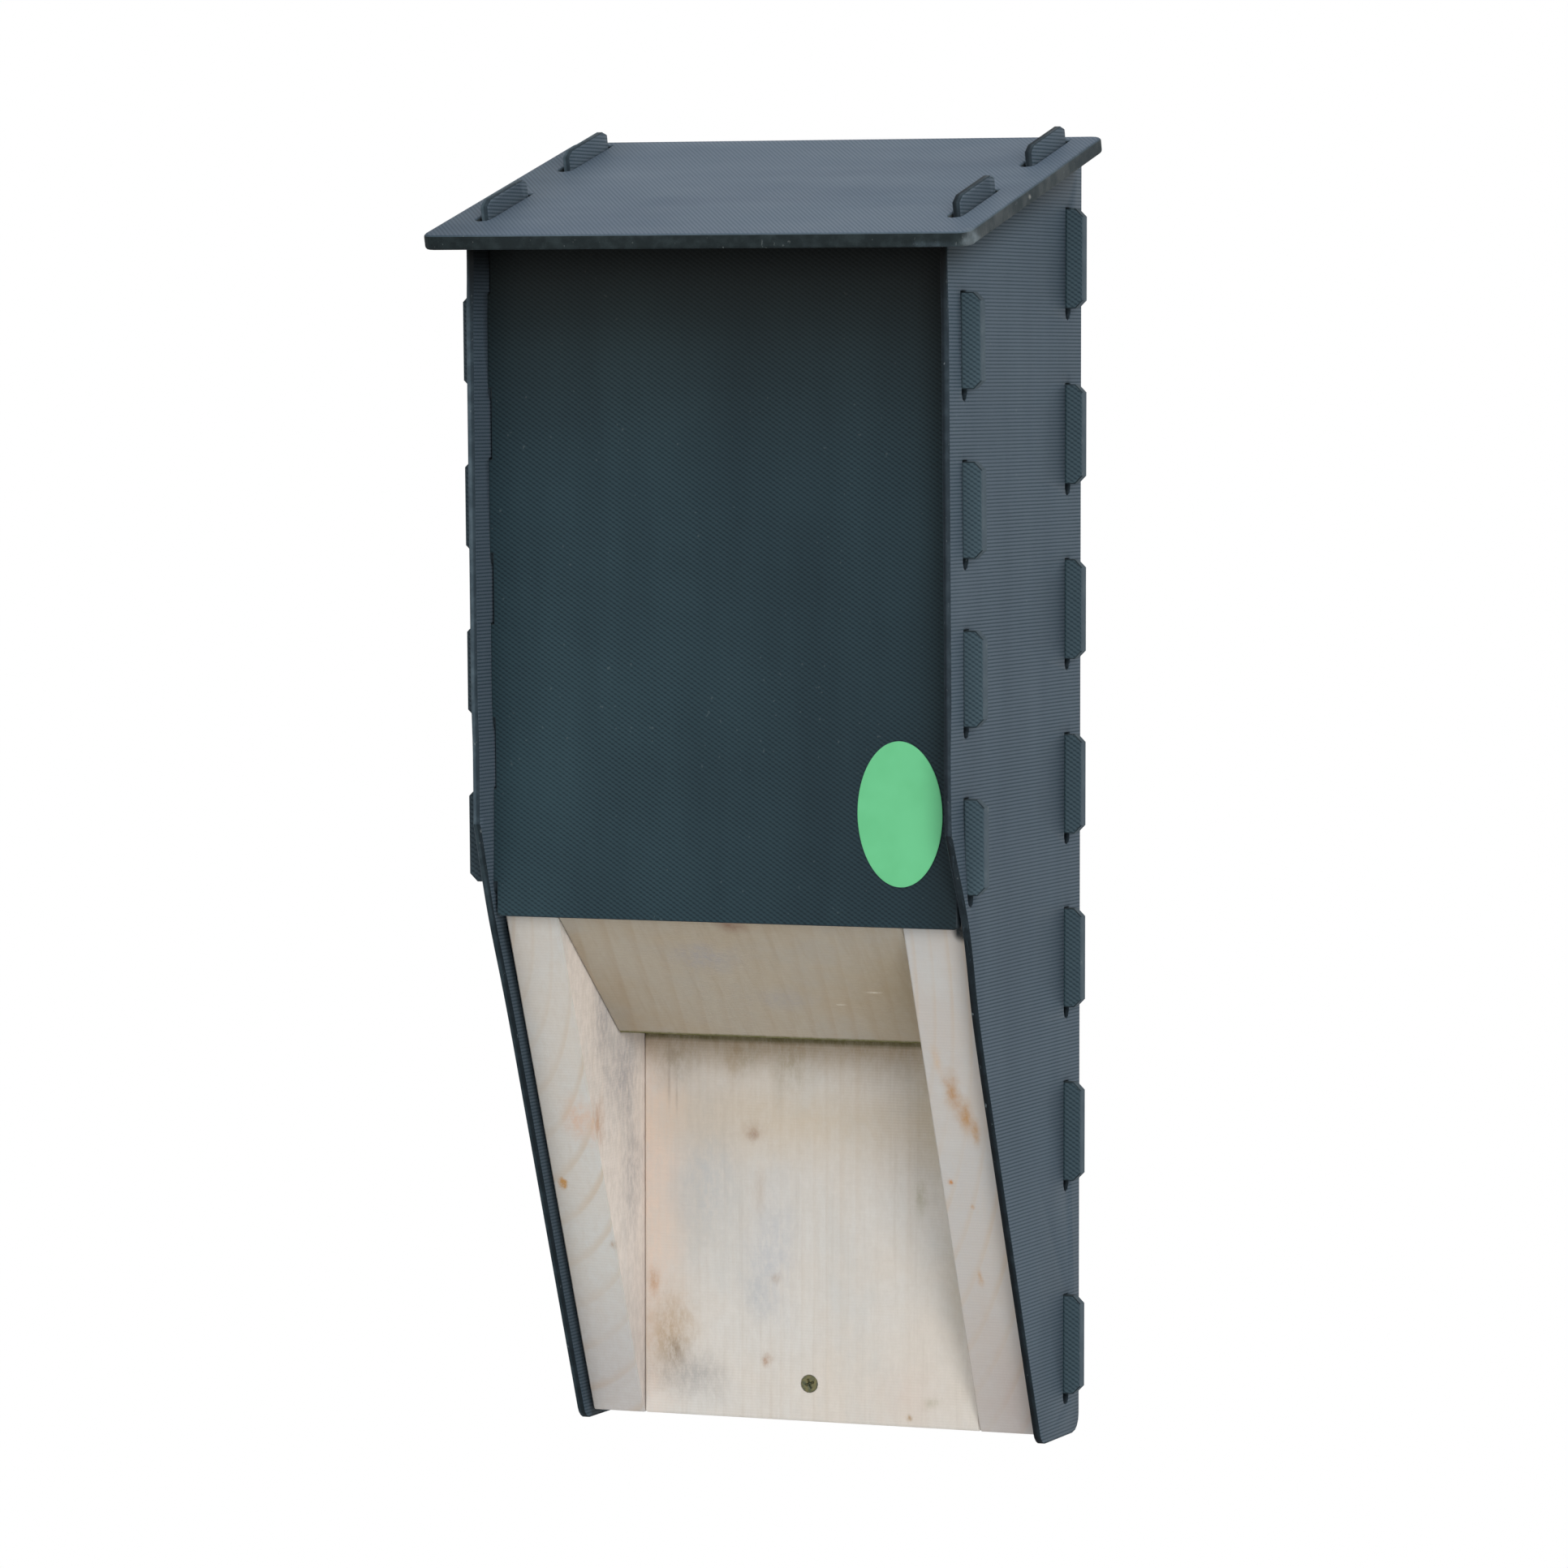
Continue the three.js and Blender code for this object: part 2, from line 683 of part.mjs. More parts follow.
// The body group turns depth, height and width into world Y, Z and X
const body = new THREE.Group();
body.rotation.set(Math.PI / 2, Math.PI / 2, 0);
body.position.y = -sideDepth;
body.add(sideSheet('side_left', -boxWidth / 2));
body.add(sideSheet('side_right', sideInner));
body.add(frontPanel(), backPanel());
body.add(cheek('cheek_left', -1), cheek('cheek_right', 1));
body.add(backBoard(), frontBoard(), centreBaffle(), entranceRamp());
body.add(...cheekScrews(), ...backScrews());
body.add(label());

const batBox = new THREE.Group();
batBox.add(body, roof());

export default batBox;
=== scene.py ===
import math

import bmesh
import bpy
import numpy as np
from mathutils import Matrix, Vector


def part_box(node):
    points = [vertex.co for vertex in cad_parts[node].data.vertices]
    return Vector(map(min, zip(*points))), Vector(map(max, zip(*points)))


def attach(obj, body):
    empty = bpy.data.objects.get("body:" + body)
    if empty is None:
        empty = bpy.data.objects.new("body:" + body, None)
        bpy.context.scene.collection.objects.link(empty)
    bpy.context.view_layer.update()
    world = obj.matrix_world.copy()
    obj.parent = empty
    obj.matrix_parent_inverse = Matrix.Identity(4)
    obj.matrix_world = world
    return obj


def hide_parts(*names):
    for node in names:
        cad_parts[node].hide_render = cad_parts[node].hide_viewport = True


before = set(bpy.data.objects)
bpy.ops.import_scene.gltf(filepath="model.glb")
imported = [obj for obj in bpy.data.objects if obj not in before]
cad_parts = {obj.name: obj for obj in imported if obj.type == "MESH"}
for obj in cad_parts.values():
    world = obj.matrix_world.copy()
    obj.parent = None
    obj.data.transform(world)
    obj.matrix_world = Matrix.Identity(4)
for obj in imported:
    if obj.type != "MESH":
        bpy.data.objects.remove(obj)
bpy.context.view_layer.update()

mm = 0.001
print("frame loaded:", len(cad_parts), "nodes")

# Bat box, seen from a little right of straight ahead: ribbed plastic sheets locked round a timber liner


# One socket of a node tree, so that sums on it read as plain Python
class Field:
    def __init__(self, recipe, socket):
        self.recipe = recipe
        self.socket = socket

    def maths(self, operation, first, second=None):
        sockets = {0: first} if second is None else {0: first, 1: second}
        return self.recipe.node("ShaderNodeMath", {"operation": operation}, sockets)

    def __add__(self, other):
        return self.maths("ADD", self, other)

    def __radd__(self, other):
        return self.maths("ADD", other, self)

    def __sub__(self, other):
        return self.maths("SUBTRACT", self, other)

    def __rsub__(self, other):
        return self.maths("SUBTRACT", other, self)

    def __mul__(self, other):
        return self.maths("MULTIPLY", self, other)

    def __rmul__(self, other):
        return self.maths("MULTIPLY", other, self)

    def __truediv__(self, other):
        return self.maths("DIVIDE", self, other)

    def size(self):
        return self.maths("ABSOLUTE", self)

    def cosine(self):
        return self.maths("COSINE", self)

    def root(self):
        return self.maths("SQRT", self)

    def part(self):
        return self.maths("FRACT", self)

    # Runs smoothly from 0 at one value to 1 at another: three times the squared share less twice its cube
    def between(self, low, high):
        return self.recipe.node("ShaderNodeMapRange", {"interpolation_type": "SMOOTHSTEP", "clamp": True},
                                {"Value": self, "From Min": low, "From Max": high})


channelSockets = {"colour": "Base Color", "roughness": "Roughness", "normal": "Normal"}


# One material while it is put together
class Recipe:
    def __init__(self, name, fixed):
        self.material = bpy.data.materials.new(name)
        self.material.use_nodes = True
        self.nodes = self.material.node_tree.nodes
        self.links = self.material.node_tree.links
        self.shader = self.nodes["Principled BSDF"]
        for socket, value in fixed.items():
            self.shader.inputs[socket].default_value = value

    # Any node: its type, then its settings, then values or links for its sockets
    def node(self, kind, settings=None, sockets=None, out=0):
        made = self.nodes.new(kind)
        for name, value in (settings or {}).items():
            setattr(made, name, value)
        for name, value in (sockets or {}).items():
            self.feed(made.inputs[name], value)
        return Field(self, made.outputs[out])

    def feed(self, socket, value):
        if isinstance(value, Field):
            self.links.new(value.socket, socket)
        else:
            socket.default_value = value

    def finish(self, **channels):
        for name, value in channels.items():
            self.feed(self.shader.inputs[channelSockets[name]], value)
        return self.material

    def place(self):
        return self.node("ShaderNodeTexCoord", out=3)

    def facing(self):
        return self.node("ShaderNodeTexCoord", out=1)

    # How far a place or a facing lies along a direction
    def along(self, vector, direction):
        return self.node("ShaderNodeVectorMath", {"operation": "DOT_PRODUCT"}, {0: vector, 1: direction}, out=1)

    # A place stretched by a factor on each axis, and moved
    def stretched(self, vector, scale, move=(0, 0, 0)):
        return self.node("ShaderNodeMapping", {}, {"Vector": vector, "Scale": scale, "Location": move})

    def cloud(self, vector, scale, detail=3.0, roughness=0.55):
        return self.node("ShaderNodeTexNoise", {}, {"Vector": vector, "Scale": scale, "Detail": detail,
                                                    "Roughness": roughness})

    def blend(self, first, second, share, way="MIX"):
        return self.node("ShaderNodeMix", {"data_type": "RGBA", "blend_type": way, "clamp_factor": True},
                         {0: share, 6: first, 7: second}, out=2)

    def relief(self, height, depth, before=None):
        sockets = {"Height": height, "Distance": depth, "Strength": 1.0}
        if before is not None:
            sockets["Normal"] = before
        return self.node("ShaderNodeBump", {}, sockets)


# A colour given as screen values from 0 to 255
def paint(red, green, blue):
    levels = [value / 255 for value in (red, green, blue)]
    return tuple(level / 12.92 if level <= 0.04045 else ((level + 0.055) / 1.055) ** 2.4 for level in levels) + (1,)


# All sheets share one embossed lattice: rows stand one row apart along one axis, pellets one pellet apart along
# the other, and the pellets of neighbouring rows are offset, which shows as a slanting twill
emboss = {"row": 1.406 * mm, "pellet": 0.932 * mm, "depth": 0.15 * mm}

pitch = math.radians(14.8)
lean = math.radians(1.4)
slope = (0, math.cos(pitch), math.sin(pitch))
roofUp = (0, -math.sin(pitch), math.cos(pitch))
frontUp = (0, -math.sin(lean), math.cos(lean))
frontOut = (0, -math.cos(lean), -math.sin(lean))
slantOut = (0, -0.9226, -0.3858)  # square to the long slanted edge of a side sheet
left, right, up, down, rearward = (-1, 0, 0), (1, 0, 0), (0, 0, 1), (0, 0, -1), (0, 1, 0)
tabsBeyond = (0.1000, 0.1006)  # a tab takes a painted lit tone where it leaves the side sheet


# The share of a place inside every band: along its direction a band grows from its first value to its second
def banded(recipe, place, bands):
    shares = [recipe.along(place, direction).between(start, end) for direction, start, end in bands]
    share = shares[0]
    for other in shares[1:]:
        share = share * other
    return share


# A soft patch about a place, a stain or painted shade: strongest inside its core, ragged where it fades
def stainedOrShaded(recipe, place, mottle, colour, spot):
    offset = recipe.node("ShaderNodeVectorMath", {"operation": "SUBTRACT"}, {0: place, 1: spot["at"]})
    scaled = recipe.node("ShaderNodeVectorMath", {"operation": "DIVIDE"}, {0: offset, 1: spot["reach"]})
    length = recipe.node("ShaderNodeVectorMath", {"operation": "LENGTH"}, {0: scaled}, out=1)
    grain = 0.9 / sorted(spot["reach"])[1]
    cloud = recipe.cloud(recipe.stretched(place, (1, 1, 0.6)), grain, 5.0, 0.68)
    ragged = length + (cloud - 0.5) * spot.get("ragged", 1.6)
    mottled = spot.get("mottled", 0.7)
    share = (1 - ragged.between(spot.get("core", -0.2), 1.1)) * (mottle * 1.4 * mottled + (1 - 0.6 * mottled))
    return recipe.blend(colour, spot["colour"], share * spot["share"])


# A spot of stain or painted shade, as the patch takes it: its place, its reach on each axis, its colour as screen
# values and its share
def stainOrShade(at, reach, tone, share, **rest):
    return {"at": at, "reach": reach, "colour": paint(*tone), "share": share, **rest}


# Cloud sizes of a sheet's finish: the larger the number, the finer the cloud
sheetClouds = {"wander": 45, "drift": 7, "streaks": 30, "worn": 24, "fuzz": 640, "speck": 430, "mottle": 190,
               "scratch": 520, "grit": 1100, "waves": 15}


# The lattice is a sum of cosines of rows plus pellets, of pellets less rows, and of twice the rows, in the shares
# that weave gives. Sawn edges, where the facing leaves the sheet's own direction, get the rim's colours instead.
def sheetFinish(name, look):
    recipe = Recipe(name, {"Specular IOR Level": 0.16})
    place = recipe.place()
    facing = recipe.facing()
    wander = recipe.cloud(place, sheetClouds["wander"], 2.0) * 0.7
    rows = recipe.along(place, look["rowsAlong"]) * (math.pi / emboss["row"])
    pellets = recipe.along(place, look["pelletsAlong"]) * (math.pi / emboss["pellet"])
    twill = (rows + pellets + wander).cosine()
    counter = (pellets - rows + wander).cosine()
    ribs = (rows * 2 + wander).cosine()
    shares = [share / sum(look["weave"]) for share in look["weave"]]
    lattice = (twill * shares[0] + counter * shares[1] + ribs * shares[2]) * 0.5 + 0.5
    crest = lattice.between(0.08, 0.72)
    face = recipe.along(facing, look["out"]).size().between(0.80, 0.93)

    drift = recipe.cloud(place, sheetClouds["drift"], 4.0)
    streaks = recipe.cloud(recipe.stretched(place, look["streaks"]), sheetClouds["streaks"], 3.0)
    worn = recipe.cloud(place, sheetClouds["worn"], 3.0)
    fuzz = recipe.cloud(place, sheetClouds["fuzz"], 3.0, 0.7)
    tone = recipe.blend(look["dark"], look["light"], (drift * 0.6 + streaks * 0.4).between(0.34, 0.66))
    # Painted light: tabs beyond the side sheets take lit tones
    for direction, tabLitTone in look.get("tabs", ()):
        tone = recipe.blend(tone, tabLitTone, recipe.along(place, direction).between(*tabsBeyond))
    trough = (1 - crest) * look["troughShare"] * (worn * 0.6 + 0.7) * (fuzz * 0.9 + 0.55)
    woven = recipe.blend(tone, look["trough"], trough, "MULTIPLY")
    speck = recipe.cloud(place, sheetClouds["speck"], 1.0).between(0.75, 0.80)
    woven = recipe.blend(woven, look["fleck"], speck * 0.22)

    mottle = recipe.cloud(place, sheetClouds["mottle"], 4.0, 0.6).between(0.40, 0.72)
    rim = recipe.blend(look["rim"], look["rimLight"], mottle)
    # Rim colours by facing: on the side and front sheets painted light and shade, lighter or darker by the way a rim
    # faces; on the roof the side and rear rims lighter than the front rim
    for band in look.get("rimPaintedLightAndTone", ()):
        share = recipe.along(facing, band["facing"]).between(band["from"], band["to"])
        patches = recipe.cloud(place, band["grain"], 4.0, 0.6).between(0.38, 0.70)
        rim = recipe.blend(rim, recipe.blend(band["colour"], band["light"], patches), share)
    # Painted shade on rims, over bands of place
    for shade in look.get("rimPaintedShades", ()):
        rim = recipe.blend(rim, shade["tint"], banded(recipe, place, shade["bands"]), "MULTIPLY")
    scratched = recipe.cloud(recipe.stretched(place, (1, 0.5, 0.5)), sheetClouds["scratch"], 3.0, 0.7)
    rim = recipe.blend(rim, look["fleck"], scratched.between(0.66, 0.74) * 0.65)
    colour = recipe.blend(rim, woven, face)
    outward = recipe.along(place, right) * recipe.along(facing, right)
    # Painted shade: tints multiplied in over bands where shade falls on a sheet
    for shade in look["paintedShades"]:
        share = banded(recipe, place, shade["bands"])
        if shade.get("inward"):
            share = share * outward.between(0.07, 0.01)
        colour = recipe.blend(colour, shade["tint"], share, "MULTIPLY")
    for spot in look.get("spots", ()):
        colour = stainedOrShaded(recipe, place, mottle, colour, spot)

    grit = recipe.cloud(place, sheetClouds["grit"], 2.0, 0.7)
    height = lattice * face * 0.5 + grit * (0.5 - face * 0.38)
    rough = 0.66 + drift * 0.12 + (1 - face) * 0.1 - crest * face * 0.05
    waves = recipe.relief(recipe.cloud(place, sheetClouds["waves"], 2.0, 0.4), look["waves"])
    return recipe.finish(colour=colour, roughness=rough, normal=recipe.relief(height, emboss["depth"], waves))


# Inner faces of the side sheets below the kink, in front of the back sheet, where shade is painted
belowKink = ((up, 0.214, 0.204), (rearward, -0.016, -0.030))
sideLook = {
    "rowsAlong": up, "pelletsAlong": rearward, "out": right, "weave": (0.18, 0.08, 1.0), "waves": 1.6 * mm,
    # Painted light and shade: the side, front and roof sheets are one plastic, toned by how light falls on each; the
    # sides take middle tones, their rims likewise
    "streaks": (1, 1, 0.12), "dark": paint(78, 90, 101), "light": paint(88, 100, 111), "trough": paint(152, 174, 176),
    "troughShare": 0.8, "rim": paint(58, 71, 79), "rimLight": paint(76, 90, 98), "fleck": paint(128, 136, 138),
    # Painted shade on rims: the right sheet's rims darker, and the part of every rim nearest the inside darker
    "rimPaintedShades": [
        {"tint": paint(178, 180, 183), "bands": [(right, -0.05, 0.05)]},
        {"tint": paint(170, 176, 180), "bands": [(right, 0.0992, 0.0982), (right, -0.0992, -0.0982)]},
    ],
    # Painted shade: the inner faces and rims at the top front under the roof, a band just under the roof, the inner
    # faces in the bay below the kink, and a darker crease beside the cheek
    "paintedShades": [
        {"tint": paint(92, 88, 84), "inward": True,
         "bands": [(up, 0.430, 0.478), (roofUp, 0.4990, 0.4975), (rearward, -0.10, -0.13)]},
        {"tint": paint(140, 146, 142),
         "bands": [(roofUp, 0.4780, 0.4975), (roofUp, 0.4990, 0.4980), (rearward, -0.004, -0.012)]},
        {"tint": paint(204, 213, 217), "inward": True, "bands": belowKink},
        {"tint": paint(150, 152, 152), "inward": True, "bands": [*belowKink, (slantOut, 0.0370, 0.0332)]},
    ],
    # Painted shade: rims facing down, along the slanted front edges, darker
    "rimPaintedLightAndTone": [
        {"facing": down, "from": 0.12, "to": 0.30, "colour": paint(36, 48, 54), "light": paint(52, 65, 71),
         "grain": 160},
    ],
}

# The front sheet without its tabs
betweenSides = ((right, 0.101, 0.099), (right, -0.101, -0.099))
frontLook = {
    "rowsAlong": right, "pelletsAlong": frontUp, "out": frontOut, "weave": (1.0, 0.5, 0.12), "waves": 1.2 * mm,
    # Painted shade: the front sheet, the same plastic, toned darkest as it lies in shade; its rims likewise
    "streaks": (1, 1, 0.12), "dark": paint(36, 54, 61), "light": paint(46, 66, 73), "trough": paint(150, 160, 166),
    "troughShare": 0.72, "rim": paint(34, 45, 50), "rimLight": paint(52, 64, 69), "fleck": paint(104, 114, 116),
    # Painted light: the tabs beyond the side sheets lit lighter, the right ones more
    "tabs": ((right, paint(70, 87, 95)), (left, paint(52, 65, 72))),
    # Painted shade: two darker bands under the roof, the right half darker than the left, and darker again near the
    # right side sheet
    "paintedShades": [
        {"tint": paint(196, 184, 174), "bands": [(frontUp, 0.372, 0.470), *betweenSides]},
        {"tint": paint(134, 128, 116), "bands": [(frontUp, 0.430, 0.482), *betweenSides]},
        {"tint": paint(222, 224, 226), "bands": [(right, -0.09, 0.09), *betweenSides]},
        {"tint": paint(214, 212, 208), "bands": [(right, 0.074, 0.098), *betweenSides]},
    ],
    # Painted light and shade: rims facing right lighter, rims facing left darker
    "rimPaintedLightAndTone": [
        {"facing": right, "from": 0.5, "to": 0.8, "colour": paint(74, 86, 94), "light": paint(82, 94, 101),
         "grain": 160},
        {"facing": left, "from": 0.5, "to": 0.8, "colour": paint(54, 66, 73), "light": paint(66, 78, 84),
         "grain": 160},
    ],
}

roofLook = {
    "rowsAlong": slope, "pelletsAlong": right, "out": roofUp, "weave": (1.0, 0.3, 0.12), "waves": 3.2 * mm,
    # Painted light: the roof, the same plastic, toned light as it faces the light
    "streaks": (0.2, 1, 1), "dark": paint(74, 87, 102), "light": paint(88, 100, 113), "trough": paint(160, 182, 186),
    "troughShare": 0.5, "rim": paint(25, 33, 35), "rimLight": paint(38, 47, 49), "fleck": paint(118, 124, 124),
    # Painted shade: the roof darker towards its left end
    "paintedShades": [{"tint": paint(206, 212, 214), "bands": [(right, -0.070, -0.108)]}],
    "spots": [
        stainOrShade((0.1138, -0.160, 0.472), (0.006, 0.010, 0.008), (112, 122, 127), 0.8, core=0.3, ragged=0.9),
        stainOrShade((0.098, -0.1654, 0.470), (0.020, 0.004, 0.005), (82, 96, 104), 0.7, core=0.2, ragged=0.7),
        stainOrShade((0.1138, -0.0985, 0.4925), (0.002, 0.0022, 0.0012), (190, 190, 184), 0.8),
        stainOrShade((0.1138, -0.030, 0.506), (0.002, 0.045, 0.020), (44, 52, 56), 0.6, ragged=0.8),
    ],
    "rimPaintedLightAndTone": [
        *({"facing": facing, "from": 0.45, "to": 0.85, "colour": paint(48, 56, 59), "light": paint(76, 81, 82),
           "grain": 60} for facing in (right, left, slope)),
        {"facing": (0, -0.3, 0.95), "from": 0.3, "to": 0.8, "colour": paint(68, 81, 91), "light": paint(79, 92, 102),
         "grain": 90},
    ],
}

# The back sheet takes the front's tones, its painted tab light and painted rim light and shade, without its painted
# shade bands
backLook = dict(frontLook, pelletsAlong=up, out=rearward, paintedShades=[])

sidePlastic = sheetFinish("side_sheet_ribs", sideLook)
frontPlastic = sheetFinish("front_sheet_twill", frontLook)
roofPlastic = sheetFinish("roof_sheet_ribs", roofLook)
backPlastic = sheetFinish("back_sheet_twill", backLook)
print("plastic finishes made")


# Cloud sizes of a board's finish, the distance from one saw mark to the next, and how deep the grain lies
timberClouds = {"sway": 9, "showing": 26, "fibres": 420, "broad": 110, "patch": 16, "saw": 30, "cool": 34,
                "mottle": 420, "grit": 1500}
sawPitch = 1.15 * mm
timberRelief = 0.11 * mm


# Rings stand round a pith line beside each board, and their late wood shows as tan lines. Fibres run along the
# grain, saw marks cross it, and stains and painted shade lie where the spots say.
def timberFinish(name, look):
    recipe = Recipe(name, {"Specular IOR Level": 0.2})
    place = recipe.place()
    slow = look["wander"]
    swayA = recipe.cloud(recipe.stretched(place, slow), timberClouds["sway"], 2.0) - 0.5
    swayB = recipe.cloud(recipe.stretched(place, slow, (3.1, 1.7, 5.3)), timberClouds["sway"], 2.0) - 0.5
    first = recipe.along(place, look["axes"][0]) - look["pith"][0] + swayA * look["sway"]
    second = recipe.along(place, look["axes"][1]) - look["pith"][1] + swayB * look["sway"]
    season = ((first * first + second * second).root() / look["ring"]).part()
    late = season.between(*look["late"]) * season.between(1.0, 0.9)
    shown = recipe.cloud(recipe.stretched(place, slow, (7.7, 2.2, 0.4)), timberClouds["showing"], 3.0)
    showing = shown.between(0.38, 0.68)

    fibres = recipe.cloud(recipe.stretched(place, look["fibre"]), timberClouds["fibres"], 4.0, 0.7)
    broad = recipe.cloud(recipe.stretched(place, look["fibre"], (1.3, 0.2, 4.1)), timberClouds["broad"], 3.0, 0.6)
    patch = recipe.cloud(place, timberClouds["patch"], 4.0, 0.6)
    strayed = recipe.cloud(place, timberClouds["saw"], 3.0) * 5
    marks = (recipe.along(place, look["saw"]) * (2 * math.pi / sawPitch) + strayed).cosine()

    colour = recipe.blend(look["pale"], look["warm"], patch.between(0.35, 0.68) * look["warmShare"])
    colour = recipe.blend(colour, look["ringColour"], late * (showing * 0.7 + 0.3) * look["ringShare"])
    colour = recipe.blend(colour, look["fibreColour"], fibres.between(0.48, 0.76) * look["fibreShare"])
    colour = recipe.blend(colour, look["ringColour"], broad.between(0.55, 0.75) * look["broadShare"])
    colour = recipe.blend(colour, look["fibreColour"], (marks * 0.5 + 0.5) * look["sawShare"])
    # Painted light: the left cheek's inner face in the bay, facing the key lamp, turned lighter
    if "bayPaintedLight" in look:
        inside = recipe.along(recipe.facing(), right).between(0.85, 0.97) * look["bayPaintedLight"]["share"]
        colour = recipe.blend(colour, look["bayPaintedLight"]["colour"], inside)
    cool = recipe.cloud(recipe.stretched(place, (1, 1, 0.6), (2.2, 5.1, 0.7)), timberClouds["cool"], 5.0, 0.65)
    colour = recipe.blend(colour, look["cool"], cool.between(0.46, 0.72) * look["coolShare"])
    mottled = recipe.cloud(recipe.stretched(place, (1, 1, 0.45)), timberClouds["mottle"], 5.0, 0.75)
    mottle = mottled.between(0.34, 0.66)
    colour = recipe.blend(colour, look["fibreColour"], mottle * look["mottleShare"])
    for spot in look["spots"]:
        colour = stainedOrShaded(recipe, place, mottle, colour, spot)

    height = fibres * 0.6 + late * 0.2 + marks * 0.15 + recipe.cloud(place, timberClouds["grit"], 2.0) * 0.3
    rough = 0.74 + fibres * 0.16
    return recipe.finish(colour=colour, roughness=rough, normal=recipe.relief(height, timberRelief))


boardFace = -0.0368


# A stain or painted shade on the back board's face, by its place and its reach across and up
def boardStainOrShade(across, up, width, height, tone, share, **rest):
    return stainOrShade((across, boardFace, up), (width, 0.02, height), tone, share, **rest)
